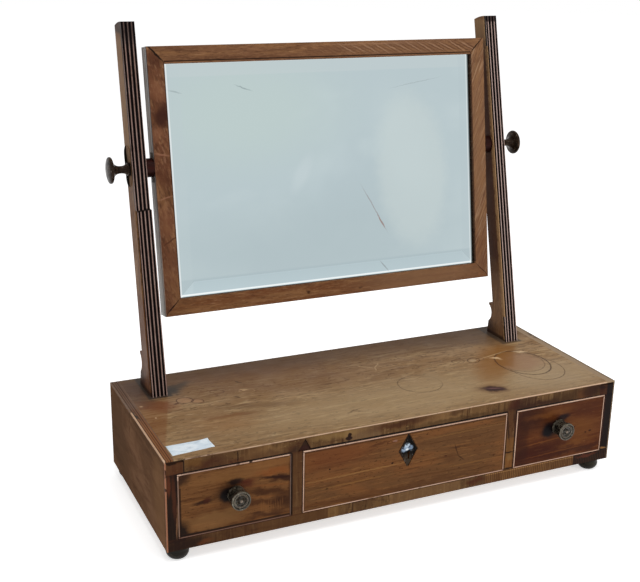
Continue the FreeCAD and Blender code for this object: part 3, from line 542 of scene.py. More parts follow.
coat("boxwood stringing on the drawers", SHELLAC, "#c5a08a", [
    ("#dcbca4", (25, 25, 25), 0.45, 0.65, 0.6),
    ("#9a735c", (8, 8, 8), 0.56, 0.72, 0.6),
    ("#6d4c3b", (3, 3, 3), 0.64, 0.74, 0.7),
], (0.45, 0.6), 0.2, marks=[("front", [
    ("spot", -187, 100.4, 1.6, 2.4, 0, "#1b100b", 0.95, 0.4),
    ("spot", -201, 100.4, 1.6, 2.4, 0, "#1b100b", 0.95, 0.4),
    ("patch", -266.2, 60, 1.6, 34, 0, "#7a5f4f", 0.85, 0.2),
    ("patch", -142, 64, 2.2, 38, 0, "#453430", 0.85, 0.3),
    ("patch", -205, 28, 62, 2.0, 0, "#5e4138", 0.85, 0.2),
    ("patch", -232, 100.2, 31, 1.4, 0, "#99796a", 0.6, 0.3),
    ("spot", -42, 28, 7, 2, 0, "#7a5a40", 0.8, 0.4),
    ("spot", 16, 27.6, 2.2, 2, 0, "#2a1a12", 0.9, 0.4),
    # thin painted shadow lines in the gaps round each drawer front
    ("patch", 0, 99.3, 270, 0.35, 0, "#452b1d", 0.8, 0.4),
    ("patch", 0, 29.0, 270, 0.35, 0, "#452b1d", 0.8, 0.4),
] + [("patch", x, 64, 0.35, 36, 0, "#452b1d", 0.8, 0.4)
     for x in (-265.6, -143.4, -126.8, 126.8, 143.4, 265.6)])],
    on=three("stringing"))

# %% [markdown]
# ## Drawer fronts
#
# The three fronts were cut from figured mahogany and polished red brown. Each has
# its own character: the left is full of dark flame and a knot, the middle is
# even with long fine lines, the right is darker at its left and gold
# towards the right. They share the same washes, with a seed to move them, and a
# list of marks each. The wood is darker along each edge, on the face only; the
# inside keeps the plain grain.

# %% A drawer front
def drawer_front(name, node, base, seed, rows, edge):
    """Figured mahogany for one drawer, dark at its edges."""
    material, tree, shader, mm = begin(name, SHELLAC)
    low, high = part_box(node)
    middle, half = (low + high) / (2 * MM), (high - low) / (2 * MM)
    grain = shade = wash(tree, mm, colour(base), [
        ("#744927", (90, 40, 20), 0.42, 0.64, 0.7),
        ("#42220b", (110, 20, 6), 0.50, 0.72, 0.55),
        ("#83562e", (80, 20, 3), 0.53, 0.73, 0.4),
        ("#371c0b", (28, 10, 1.8), 0.55, 0.70, 0.5),
        ("#8d6237", (16, 10, 1.8), 0.58, 0.72, 0.45),
        ("#241207", (5, 5, 1.8), 0.60, 0.68, 0.6),
    ], seed)
    shade = mark(tree, mm, shade, "front", rows)
    corner = put(tree, "Mapping", {"Vector": shaken(tree, mm, 20.0, 3.0), "Location": middle,
                                   "Scale": (half.x, FAR, half.z)}, vector_type="TEXTURE").outputs[0]
    axes = put(tree, "SeparateXYZ", {0: vector(tree, "ABSOLUTE", corner)}).outputs
    edge_dark = maths(tree, "MAXIMUM", ramp(tree, axes[0], 1 - edge / half.x, 1.0),
                  ramp(tree, axes[2], 1 - edge / half.z, 1.0))
    shade = lay(tree, ramp(tree, edge_dark, 0.1, 1.0, 0.0, 0.7), shade, colour("#241109"))
    inside = ramp(tree, coordinate(tree, mm, 1), -129.0, -127.0)
    shade = lay(tree, inside, shade, grain)
    finish(tree, shader, mm, shade, grain, (0.38, 0.52), 0.2)
    dress(material, node)


drawer_front("flame mahogany French-polished", "left_drawer_front", "#674325", 3.0, [
    ("spot", -205, 90, 60, 7, 3, "#7f5732", 0.5, 0.6),
    ("spot", -230, 42, 28, 9, 0, "#7b5734", 0.6, 0.6),
    ("spot", -160, 84, 18, 4, -6, "#7a4420", 0.6, 0.6),
    ("dash", -158, 77, 20, 1.6, -9, "#241009", 0.9, 0.6),
    ("spot", -150, 74, 12, 4, -10, "#2a130b", 0.85, 0.6),
    ("dash", -165, 69, 26, 1.4, -7, "#724422", 0.5, 0.6),
    ("spot", -168, 62, 22, 4, -10, "#331809", 0.8, 0.6),
    ("dash", -176, 57, 26, 1.2, -6, "#774a27", 0.5, 0.6),
    ("spot", -182, 52, 26, 3.4, -6, "#3a1c0c", 0.7, 0.6),
    ("spot", -150, 48, 14, 9, 0, "#29130a", 0.8, 0.6),
    ("spot", -172, 36, 22, 3, -3, "#30170c", 0.7, 0.6),
    ("spot", -196, 33, 22, 2.6, -2, "#4b2510", 0.3, 0.6),
    ("dash", -240, 64.5, 10, 2.2, 4, "#241009", 0.9, 0.6),
    ("dash", -236, 66, 4, 3.0, 30, "#3c1a0f", 0.8, 0.6),
    ("spot", -232, 53, 28, 3.2, 0, "#52301a", 0.3, 0.6),
    ("spot", -228, 46, 34, 5, 0, "#72502f", 0.5, 0.7),
    ("dash", -234, 77, 24, 0.9, 2, "#4d2b14", 0.6, 0.7),
    ("dash", -226, 81, 16, 0.8, 3, "#522e16", 0.6, 0.7),
    # painted shadow round the knob's seat, with grime, and a dark blot above it
    ("spot", -209, 68, 14.5, 13, 0, "#26150f", 0.8, 0.45),
    ("dash", -212.5, 67.5, 9.5, 8, 20, "#0c0809", 0.96, 0.3),
    ("dash", -205, 81, 9, 3.5, 0, "#150c0d", 0.9, 0.5),
    ("spot", -190, 76, 7, 5, 0, "#45160f", 0.7, 0.6),
    ("spot", -262, 95, 8, 7, 0, "#1c0f0a", 0.8, 0.6),
    ("spot", -263, 34, 9, 10, 0, "#130a07", 0.95, 0.6),
    ("spot", -240, 30, 30, 3, 0, "#2a160c", 0.8, 0.6),
    ("patch", -204.5, 30.2, 62, 1.0, 0, "#150b07", 0.85, 0.4),
    ("patch", -264.6, 55, 0.9, 30, 0, "#150b07", 0.8, 0.4),
] + [("dash", -176 + 2.7 * k, 45 + 2 * math.sin(2.3 * k), 0.8, 5 + math.cos(1.7 * k), 0, "#85552e", 0.24, 0.7)
     for k in range(10)], 3.5)
drawer_front("even mahogany French-polished", "centre_drawer_front", "#5f3f24", 40.0, [
    ("spot", -90, 88, 44, 14, 0, "#633319", 0.5, 0.6),
    ("ring", -22, 92.4, 5.4, 1.8, 8, "#3a1a0f", 0.8, 0.25),
    ("dash", -18, 92.8, 2.6, 1.1, 8, "#8c6858", 0.7, 0.4),
    ("spot", -36, 92, 12, 1.6, 8, "#3f2010", 0.6, 0.6),
    ("dash", 62, 67, 0.7, 7, 20, "#29160b", 0.8, 0.6),
    ("dash", 68, 56, 0.7, 6, 50, "#29160b", 0.7, 0.6),
    ("spot", 56, 58, 8, 6, 0, "#492a15", 0.4, 0.6),
    ("dash", -20.2, 66.2, 1.3, 1.2, 0, "#120805", 0.95, 0.4),
    ("dash", -97, 73.5, 0.9, 0.9, 0, "#120805", 0.9, 0.4),
    ("dash", -100, 51, 1.5, 1.0, 0, "#1b0c07", 0.9, 0.4),
    ("dash", 48, 62, 2.0, 0.8, 0, "#3a1a10", 0.8, 0.5),
    ("patch", 0, 98.8, 130, 1.6, 0, "#27140a", 0.5, 0.5),
    ("dash", -60, 63, 66, 0.7, 1, "#8e673c", 0.6, 0.7),
    ("dash", -70, 52, 50, 0.6, 1, "#86602f", 0.4, 0.7),
    ("dash", 70, 88, 50, 0.8, 1, "#7d5830", 0.5, 0.7),
    ("dash", 84, 47, 40, 0.7, 0, "#82592f", 0.5, 0.7),
    ("spot", 0, 34, 120, 3.5, 0, "#4a2c17", 0.5, 0.6),
], 3.0)
drawer_front("dark mahogany French-polished", "right_drawer_front", "#482611", 90.0, [
    ("spot", 204, 64, 90, 60, 0, "#4a1c04", 0.45, 0.3),
    ("spot", 158, 88, 30, 17, 0, "#291009", 0.8, 0.6),
    ("spot", 170, 40, 42, 13, 0, "#2e0d08", 0.7, 0.6),
    ("spot", 236, 64, 24, 13, 0, "#653c1b", 0.6, 0.6),
    ("spot", 200, 90, 40, 3.6, 2, "#673d1c", 0.6, 0.6),
    ("spot", 240, 90, 26, 8, 0, "#3f1d0d", 0.6, 0.6),
    ("spot", 232, 46, 26, 3, 3, "#693f1c", 0.5, 0.6),
    ("spot", 236, 36, 34, 4, 0, "#2d1109", 0.7, 0.6),
    ("dash", 250, 57, 2.0, 1.2, 0, "#1a0b07", 0.8, 0.5),
    ("dash", 243, 56, 1.4, 1.0, 0, "#1a0b07", 0.8, 0.5),
    ("dash", 225, 66, 2.4, 1.0, 30, "#1a0b07", 0.8, 0.5),
    ("dash", 190, 55, 40, 0.9, 3, "#75441e", 0.5, 0.7),
    ("dash", 200, 38, 44, 0.8, 2, "#75441e", 0.4, 0.7),
    # painted shadow round the knob's seat, with grime, and a dark blot above it
    ("spot", 190, 70, 11, 10, 0, "#140a0d", 0.9, 0.45),
    ("dash", 188, 68, 7.5, 7.5, 0, "#0b070a", 0.95, 0.4),
    ("dash", 207, 81.5, 10, 4, 10, "#140a0e", 0.9, 0.5),
    ("spot", 150, 58, 9, 30, 0, "#280f08", 0.6, 0.6),
], 3.0)

# %% [markdown]
# ## Uprights
#
# The uprights are solid mahogany. Their flat sides show straight grain running
# up the post, olive at the top of the left one and redder below; the
# right one's inner side is a warm gold, brightest along its front edge. Behind
# the mirror its inner side is painted dark, as shade from the frame.

# %% Uprights
RAKE = math.radians(12.8)
REED_FRONT, CASE_TOP = 28.71, 117.5
FRONT_LEVEL = REED_FRONT - CASE_TOP * math.tan(RAKE)


def behind(tree, mm):
    """How far back a point lies, measured along the rake: FRONT_LEVEL on the reeds' crests."""
    return vector(tree, "DOT_PRODUCT", mm, (0.0, 1.0, -math.tan(RAKE)))


post_finish, tree, shader, mm = begin("solid mahogany waxed", SHELLAC)
grain = shade = wash(tree, mm, colour("#6f4c33"), [
    ("#8a6442", (20, 20, 90), 0.42, 0.64, 0.7),
    ("#4a2f20", (6, 5, 110), 0.50, 0.70, 0.55),
    ("#a07a52", (4, 4, 70), 0.53, 0.70, 0.5),
    ("#352016", (3, 3, 24), 0.56, 0.70, 0.6),
    ("#a78460", (2.0, 2.0, 9), 0.56, 0.68, 0.5),
    ("#3a2519", (1.8, 1.8, 8), 0.55, 0.66, 0.6),
])
shade = mark(tree, mm, shade, "front", [
    ("patch", -240, 522, 14, 8, 0, "#251a16", 0.8, 0.3),
    ("patch", -240, 430, 14, 80, 0, "#92714f", 0.5, 0.4),
    ("patch", -240, 170, 14, 60, 0, "#5c3526", 0.5, 0.3),
    ("patch", 237, 500, 14, 22, 0, "#8d6f4e", 0.8, 0.2),
    # painted shade on the right post's inner side, behind the mirror frame
    ("spot", 237, 346, 50, 150, 0, "#4a2a1b", 0.88, 0.25),
    ("patch", 237, 160, 14, 60, 0, "#7a5a3c", 0.35, 0.4),
    ("patch", 237, 119, 14, 3, 0, "#2a1c14", 0.8, 0.5),
    ("patch", -240, 119, 14, 3, 0, "#1f1511", 0.8, 0.5),
])
shade = mark(tree, mm, shade, "end", [("spot", 70, 124, 16, 14, 0, "#2b1a17", 0.7, 0.6)])
# rubbed golden near the front edge of the right post: a band that follows the rake
near_front = ramp(tree, behind(tree, mm), FRONT_LEVEL + 7.5, FRONT_LEVEL + 4.5)
to_right = ramp(tree, coordinate(tree, mm, 0), 0.0, 1.0, 0.0, 0.8)
band = maths(tree, "MULTIPLY", near_front, to_right)
band = maths(tree, "MULTIPLY", band, worn(tree, mm, 5, 0.38, 0.56, 0.25, 1.0, detail=4.0))
shade = lay(tree, band, shade, colour("#b08b60"))
finish(tree, shader, mm, shade, grain, (0.42, 0.56), 0.25)
dress(post_finish, "left_upright", "right_upright")

# %% [markdown]
# ## Reeding
#
# Three reeds run up the front of each post, with cut grooves between that were
# stained black. Only the crests have rubbed back, to a pinkish brown. The crests'
# tints are laid first and the black of the grooves over them, stain and painted
# shade together: how deep a point lies behind the front plane decides which it is,
# so the black follows the real grooves, on both posts and past the old break. The
# last marks lie over both.

# %% Reeds
reed_finish, tree, shader, mm = begin("ebonised reeding with painted groove shade", SHELLAC)
grain = shade = wash(tree, mm, colour("#947a71"), [
    ("#bfa69d", (6, 6, 60), 0.42, 0.64, 0.7),
    ("#4a3229", (4, 4, 26), 0.54, 0.68, 0.7),
    ("#2a1b18", (3, 3, 5), 0.60, 0.70, 0.7),
])
shade = mark(tree, mm, shade, "front", [
    ("patch", 237, 320, 14, 200, 0, "#b59c93", 0.8, 0.1),
    ("spot", -238, 240, 60, 190, 0, "#8b7066", 0.6, 0.4),
    ("spot", -240, 480, 60, 90, 0, "#6c4f42", 0.4, 0.5),
])
# black in the grooves by depth: dark stain with painted shade
groove = ramp(tree, behind(tree, mm), FRONT_LEVEL + 0.03, FRONT_LEVEL + 0.2)
shade = lay(tree, groove, shade, colour("#100a0a"))
shade = mark(tree, mm, shade, "front", [
    ("patch", 228.8, 320, 1.2, 170, 0.45, "#a98359", 0.85, 0.25),
    ("spot", -240, 526, 40, 22, 0, "#171011", 0.7, 0.4),
    ("patch", 237, 524, 14, 4, 0, "#171011", 0.8, 0.3),
    ("dash", -237, 324.5, 12, 1.1, 8, "#110a08", 0.9, 0.4),
])
finish(tree, shader, mm, shade, grain, (0.35, 0.5), 0.3)
dress(reed_finish, "left_reeding_upper", "left_reeding_lower", "right_reeding")

# %% [markdown]
# ## Frame of the mirror
#
# A flat frame, veneered along its length and mitred. It leans back, so its
# marks are placed in the frame's own plane: coordinates are turned
# back about the pivot first. On the right the grain of the veneer runs
# aslant in fine lines.

# %% In the mirror's plane
TILT = math.radians(8.9)
PIVOT = (0.0, 99.353, 367.5)


def leaning(tree, mm):
    """Coordinates in the mirror's own plane, from its pivot."""
    return put(tree, "Mapping", {"Vector": mm, "Location": PIVOT, "Rotation": (-TILT, 0, 0)},
               vector_type="TEXTURE").outputs[0]


# %% Frame members
# open mitres at the four corners, and shade in the rebate round the glass
FRAME_LINES = [
    ("dash", -208.5, 125.5, 1.1, 13.4, 45, "#0c0605", 0.97, 0.4),
    ("dash", 208.5, 125.5, 0.7, 12.6, -45, "#1a0e09", 0.95, 0.5),
    ("dash", -208.5, -160.5, 0.7, 12.6, -45, "#1a0e09", 0.95, 0.5),
    ("dash", 208.5, -160.5, 0.6, 12.6, 45, "#3a2114", 0.9, 0.5),
    ("patch", 0, 116.7, 199, 0.7, 0, "#1d100b", 0.9, 0.4),
    ("patch", -199.4, -17, 0.6, 133, 0, "#2a170f", 0.7, 0.4),
    ("patch", 199.4, -17, 0.8, 133, 0, "#2a170f", 0.7, 0.4),
]
# the outer side of the left stile, read as depth and height: a pale strip of painted reflection with dark lines
# in it
SIDE_SHEEN_LINES = [
    ("patch", 1, -18, 9, 156, 0, "#e4e7e7", 0.92, 0.1),
    ("patch", -7.5, -18, 1.6, 156, 0, "#40332d", 0.85, 0.4),
    ("patch", -1, 60, 0.9, 80, 0.6, "#3c3634", 0.75, 0.4),
    ("patch", 4, 20, 1.0, 120, -0.5, "#4b4644", 0.6, 0.4),
    ("patch", 8.6, -18, 1.2, 156, 0, "#2f2a29", 0.8, 0.4),
    ("spot", 0, -130, 14, 70, 0, "#b2b0a9", 0.5, 0.6),
    ("spot", -3, -10, 6, 40, 0, "#5b4a41", 0.6, 0.6),
]


def frame_wood(name, node, base, along, rows, slant=0.0, wide=0.12, lines=(), side=()):
    """Veneer for one side of the frame, its grain along the member or aslant."""
    material, tree, shader, mm = begin(name, SHELLAC)
    flat = leaning(tree, mm)
    aslant = put(tree, "Mapping", {"Vector": flat, "Rotation": (0, math.radians(slant), 0)}).outputs[0]
    size = (1, 1, wide) if along == "X" else (wide, 1, 1)
    grain = shade = wash(tree, aslant, colour(base), [
        ("#825c3b", [60 * s for s in size], 0.42, 0.64, 0.7),
        ("#4a2f1e", [55 * s for s in size], 0.50, 0.72, 0.5),
        ("#8b6345", [22 * s for s in size], 0.53, 0.70, 0.5),
        ("#3f2417", [14 * s for s in size], 0.56, 0.70, 0.6),
        ("#9a7556", [14 * s for s in size], 0.60, 0.72, 0.5),
        ("#40271b", [9 * s for s in size], 0.55, 0.67, 0.55),
        ("#96704f", [8 * s for s in size], 0.57, 0.69, 0.4),
    ] + list(lines), len(name))
    shade = mark(tree, flat, shade, "front", rows + FRAME_LINES)
    # the outer side of the left stile takes a painted reflection
    if side:
        sheen_face = ramp(tree, coordinate(tree, flat, 0), -217.2, -217.6)
        shade = lay(tree, sheen_face, shade, mark(tree, flat, shade, "end", side))
    finish(tree, shader, mm, shade, grain, (0.4, 0.55), 0.2)
    dress(material, node)


frame_wood("mahogany veneer along the top", "frame_top_rail", "#6c4a33", "X", [
    ("spot", 110, 124, 90, 10, 0, "#7a5a42", 0.5, 0.6),
    ("spot", -120, 119, 70, 1.6, 0, "#4d3020", 0.6, 0.6),
    ("dash", 60, 130, 60, 0.6, 0, "#96735a", 0.5, 0.7),
] + [("dash", -20 + 7.6 * k, 124, 0.7, 13, 63 + 4 * math.sin(2.1 * k), "#523525", 0.25 + 0.02 * k, 0.7)
     for k in range(30)]
  + [("dash", 27 + 15.2 * k, 125, 0.6, 12, 63 + 4 * math.sin(1.7 * k), "#a5846a", 0.4, 0.7) for k in range(12)])
frame_wood("mahogany veneer along the foot", "frame_bottom_rail", "#674026", "X", [
    ("spot", -40, -163, 2.4, 2.0, 0, "#29130b", 0.8, 0.5),
    ("spot", 30, -166, 2.0, 1.6, 0, "#29130b", 0.7, 0.5),
    ("spot", 120, -162, 90, 12, 0, "#76573f", 0.65, 0.6),
])
frame_wood("mottled mahogany veneer", "frame_left_stile", "#5f3b28", "Z", [
    ("spot", -206, 57, 8, 14, 0, "#2f1712", 0.85, 0.6),
    ("spot", -208, 118, 8, 10, 0, "#41251a", 0.5, 0.6),
    ("spot", -208, 84, 8, 12, 30, "#744b34", 0.6, 0.5),
    ("spot", -212, 36, 6, 8, -30, "#7a5039", 0.5, 0.5),
    ("dash", -209, 14, 9, 1.0, -12, "#8a604a", 0.7, 0.6),
    ("spot", -208, -12, 9, 12, 20, "#4f2d1e", 0.5, 0.5),
    ("dash", -208, -35, 9, 0.9, 14, "#8a604a", 0.7, 0.6),
    ("spot", -208, -62, 9, 14, 0, "#734a34", 0.5, 0.5),
    ("dash", -206, -84, 9, 1.0, 30, "#432418", 0.8, 0.6),
    ("spot", -208, -120, 9, 30, 0, "#6d4730", 0.4, 0.6),
], 16.0, 0.4, [
    ("#452a1d", (2.4, 20, 11), 0.52, 0.66, 0.6),
    ("#85604a", (2.2, 20, 8), 0.55, 0.68, 0.5),
], SIDE_SHEEN_LINES)
frame_wood("mahogany veneer cut aslant", "frame_right_stile", "#75543c", "Z", [
    ("spot", 208, 0, 10, 90, 0, "#7e5d44", 0.4, 0.6),
    ("spot", 210, -140, 10, 30, 0, "#6a4630", 0.5, 0.6),
], -24.0, 0.1, [
    ("#573829", (1.9, 20, 30), 0.50, 0.62, 0.7),
    ("#a08265", (2.1, 20, 34), 0.54, 0.66, 0.6),
])

# %% [markdown]
# ## Collars
#
# Between each post and the frame sits a small turned collar of dark red
# rosewood, oiled rather than polished.

# %% Collars
coat("oiled rosewood", {"IOR": 1.5, "Specular IOR Level": 0.06}, "#200d0a", [
    ("#34150f", (20, 6, 6), 0.45, 0.65, 0.7),
    ("#1d0e0f", (12, 2, 2), 0.52, 0.7, 0.7),
], (0.3, 0.45), 0.2, on=["pivot_collars"])

# %% [markdown]
# ## Feet
#
# Four little turned buns, stained black and scuffed, with brown wood showing at
# the edges.

# %% Feet
coat("ebonised beech scuffed", {"IOR": 1.5, "Specular IOR Level": 0.12}, "#1a1610", [
    ("#2e2a1c", (9, 9, 5), 0.45, 0.65, 0.7),
    ("#4a3d27", (5, 5, 2.5), 0.60, 0.72, 0.5),
    ("#0c0908", (4, 4, 2), 0.54, 0.7, 0.6),
], (0.35, 0.55), 0.3, on=["feet"])

# %% [markdown]
# ## Pine and oak
#
# What is meant to be hidden is cheaper wood. The case and the back of the mirror are pine,
# dry and grey brown with age, with darker late wood in lines. The drawers are
# lined with thin quartered oak, pale and open in the pore.

# %% Pine and oak
def raw_wood(name, base, pale, dark, along, names, rows=()):
    """Unpolished wood, its grain along one axis, with marks seen from above."""
    long = {"X": (1.0, 0.06, 0.06), "Y": (0.06, 1.0, 0.06), "Z": (0.06, 0.06, 1.0)}[along]
    coat(name, {"IOR": 1.5, "Specular IOR Level": 0.08}, base, [
        (pale, [260 * s for s in long], 0.42, 0.62, 0.7),
        (dark, [110 * s for s in long], 0.52, 0.66, 0.55),
        (pale, [40 * s for s in long], 0.55, 0.75, 0.4),
        (dark, [18 * s for s in long], 0.58, 0.72, 0.5),
    ], (0.6, 0.8), 0.35, marks=[("top", rows)], on=names, seed=len(name))


raw_wood("aged pine sawn along", "#9a7450", "#b08a60", "#6f4e33", "X",
         ["top_board", "bottom_board", "back_board", "mirror_backboard", "drawer_stops"],
         # near black along the front edges, which show in the gaps round the drawers: painted shade
         [("patch", 0, -129, 280, 4, 0, "#1f0f0c", 0.95, 0.2)])
# near black pine in the chip where the facing is lost: grime and painted shade
raw_wood("pine grimed where the facing is lost", "#1c0e0b", "#38201a", "#0c0605", "X", ["front_top_rail"])
raw_wood("aged pine front to back", "#957150", "#a9855d", "#6a4b32", "Y",
         ["left_end", "right_end", "partitions", "drawer_guides", "drawer_kickers"])
raw_wood("aged pine upright", "#8d6a4a", "#a07b55", "#62452e", "Z", ["muntins"])
raw_wood("quartered oak front to back", "#a98659", "#bd9a6b", "#7c5c3a", "Y",
         three("sides") + three("bottom"))
raw_wood("quartered oak across", "#a58257", "#b99567", "#7a5a39", "X",
         three("back") + ["glazing_slips"])

# %% [markdown]
# ## Metals
#
# Old brass goes from gold to a grey green as the copper in it
# darkens; touched places stay bright. Iron and the dull brass of the lock keep
# their full metallic value under a darker, rougher wash. The knobs and plates of
# the pivots have gone black: that skin of oxide is no metal. On the knobs the
# metallic value wanders with a noise, high only where the skin is rubbed, and the
# plates have none.

# %% Tarnished metals
def metal(name, bright, tarnish, green, rough, grit, *names):
    """A tarnished metal: bright where rubbed, dark and dull elsewhere."""
    coat(name, {"Metallic": 1.0}, tarnish, [
        (bright, (grit,) * 3, 0.52, 0.66, 0.85),
        (green, (grit * 1.6,) * 3, 0.50, 0.64, 0.6),
        (tarnish, (grit * 0.5,) * 3, 0.58, 0.68, 0.8),
    ], rough, 0.35, on=names, seed=len(name))


metal("wrought iron rusted", "#5a4a40", "#3a2e28", "#4a3528", (0.5, 0.7), 4.0,
      "lock_case", "lock_screws", "backboard_pins")
metal("cast brass dull", "#a8925c", "#7d6a40", "#5c5a3c", (0.35, 0.5), 4.0, "lock_bolt")

# %% [markdown]
# Wax and dust have caked brown over the front of each plate. The tapped plates
# inside the frame are painted a flat grey: a painted sheen, like the pale reflection
# painted on the frame's outer side.

# %% Blackened metals
OXIDE = {"Metallic": 0.0, "Specular IOR Level": 0.0}
pivot_brass = coat("cast brass blackened", {"Metallic": 1.0, "Specular IOR Level": 0.04}, "#2b211a", [
    ("#463629", (7, 7, 7), 0.48, 0.64, 0.7),
    ("#8d8478", (2.6, 2.6, 2.6), 0.62, 0.70, 0.6),
    ("#0f0c0a", (4, 4, 4), 0.54, 0.66, 0.8),
], (0.16, 0.3), 0.3, rubbed=(4, 0.50, 0.68, 0.1, 0.7))
coat("black oxide on brass plate", OXIDE, "#14100e", [
    ("#2a231d", (5, 5, 5), 0.50, 0.66, 0.7),
    ("#57492f", (3, 3, 3), 0.66, 0.74, 0.6),
], (0.4, 0.6), 0.35, marks=[("end", [
    ("patch", 97, 390, 8.5, 14, -12.8, "#8a705b", 0.95, 0.2),
    ("patch", 87.5, 350, 8, 12, -12.8, "#8a705b", 0.95, 0.2),
    ("spot", 104, 368, 8, 14, -12.8, "#1d1b12", 0.7, 0.5),
])], on=["pivot_plates"])
# flat grey: painted sheen continuing the frame side's painted reflection
coat("tapped brass painted with grey sheen", OXIDE, "#7d7d7a", [
    ("#4c4743", (4, 4, 4), 0.50, 0.66, 0.7),
    ("#a2a4a2", (3, 3, 3), 0.60, 0.72, 0.5),
], (0.4, 0.6), 0.35, on=["nut_plates"])

# %% [markdown]
# ## Silvered glass
#
# The mirror is plate glass with a shallow bevel, silvered behind. What is seen
# is the silver through the glass: a metal with the faint green blue of old plate,
# almost without roughness. Clouding and scratches lie in the silver, so they are
# painted on it. The bevels carry painted bands of reflection, lighter at the top
# and left, darker at the foot and right; a painted bright highlight follows the
# ground edge, and a painted shadow of the rebate runs down the right side.

# %% Mirror
glass_finish, tree, shader, mm = begin("silvered plate glass", {"Metallic": 1.0, "Roughness": 0.03})
flat = leaning(tree, mm)
shade = wash(tree, flat, colour("#b9c8cc"), [
    ("#c1cfd2", (190, 50, 120), 0.45, 0.65, 0.6),
    ("#b2c1c6", (140, 50, 160), 0.50, 0.70, 0.5),
])
shade = mark(tree, flat, shade, "front", [
    ("spot", -20, -105, 190, 50, 0, "#b0bfc3", 0.7, 0.7),
    ("spot", -110, 60, 110, 60, 0, "#bfcfcb", 0.6, 0.7),
    ("spot", 112, -25, 48, 92, 4, "#c4d0d0", 0.65, 0.22),
    ("spot", 100, 10, 30, 60, 20, "#c5d2d3", 0.4, 0.6),
    ("dash", -38, -20, 8, 22, -30, "#c4d1d4", 0.55, 0.6),
    ("spot", 56, 8, 18, 12, 0, "#c2d0d2", 0.4, 0.8),
    # painted reflection on the bevels, painted highlights along the ground edge, and a painted shadow of the
    # rebate at the right
    ("patch", 0, 107, 196, 8, 0, "#c3ced0", 0.5, 0.15),
    ("patch", 0, -141, 200, 9, 0, "#acbcc1", 0.75, 0.15),
    ("patch", -196.9, -18, 1.0, 134, 0, "#f2f6f6", 0.85, 0.4),
    ("patch", 0, -149.6, 200, 0.9, 0, "#eef2f2", 0.8, 0.4),
    ("patch", 0, 114.6, 200, 1.0, 0, "#eef2f2", 0.8, 0.4),
    ("patch", 196.4, -18, 1.4, 134, 0, "#4b4b43", 0.85, 0.4),
    ("patch", 193.9, -18, 0.6, 134, 0, "#f0f4f4", 0.8, 0.4),
    ("patch", -190, -18, 8, 130, 0, "#bccacd", 0.3, 0.15),
    ("patch", 190, -18, 8, 130, 0, "#b5c3c8", 0.3, 0.15),
    ("dash", 57, -69, 0.7, 29, 29, "#9a9898", 0.75, 0.5),
    ("dash", 66, -86, 1.0, 9, 29, "#998079", 0.8, 0.5),
    ("dash", 68, -142, 0.8, 8, 40, "#8f989b", 0.8, 0.5),
    ("dash", 120, 82, 30, 0.5, 9, "#a3aeb1", 0.6, 0.5),
    ("dash", -106, 84, 9, 0.8, -20, "#8f9d9f", 0.7, 0.6),
    ("dash", -188, 83, 7, 0.8, -15, "#99a6a8", 0.6, 0.5),
])
tree.links.new(shade, shader.inputs["Base Color"])
dress(glass_finish, "mirror_glass")

# %% [markdown]
# ## Arrises
#
# Two hundred years of dusting round every sharp corner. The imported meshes
# have split vertices, so a Weld modifier joins them before a
# Bevel takes off the arris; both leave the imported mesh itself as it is.

# %% Soften
def soften(width, *names):
    """Welds and bevels the named nodes with modifiers."""
    for name in names:
        weld = nodes[name].modifiers.new("weld", "WELD")
        weld.merge_threshold = 0.01 * MM
        bevel = nodes[name].modifiers.new("arris", "BEVEL")
        bevel.width = width * MM
        bevel.segments = 2
        bevel.limit_method = "ANGLE"
        bevel.angle_limit = math.radians(40)
        bevel.harden_normals = True
    print("arris of", width, "mm on:", len(names), "pieces")


soften(0.45, "frame_top_rail", "frame_bottom_rail", "frame_left_stile", "frame_right_stile",
       "left_upright", "right_upright")
soften(0.3, *three("stringing"))

# %% [markdown]
# ## Turned pieces
#
# A knob is turned on a lathe, so it is drawn as half an outline and spun. Points
# are radius and height in millimetres. Doing it here rather than in the solid
# allows the small mouldings, a ring of beads and a worn rim. Three short
# functions close rings of points into a surface and bring it into the scene.

# %% From points to a piece
def skin(mesh, rings):
    """Faces between each ring of points and the next; a ring may be a single point."""
    count = max(len(ring) for ring in rings)
    for low, high in zip(rings, rings[1:]):
        for k in range(count):
            after = (k + 1) % count
            loop = [low[k % len(low)], low[after % len(low)], high[after % len(high)], high[k % len(high)]]
            corners = [v for i, v in enumerate(loop) if v not in loop[:i]]
            if len(corners) > 2:
                mesh.faces.new(corners)


def show(name, data):
    """A new object in the scene."""
    thing = bpy.data.objects.new(name, data)
    bpy.context.scene.collection.objects.link(thing)
    return thing


def settle(mesh, name, smooth=False):
    """Turns a bmesh into a mesh object in the scene."""
    data = bpy.data.meshes.new(name)
    mesh.to_mesh(data)
    mesh.free()
    for polygon in data.polygons:
        polygon.use_smooth = smooth
    return show(name, data)


# %% Spin a profile
STEPS = 72


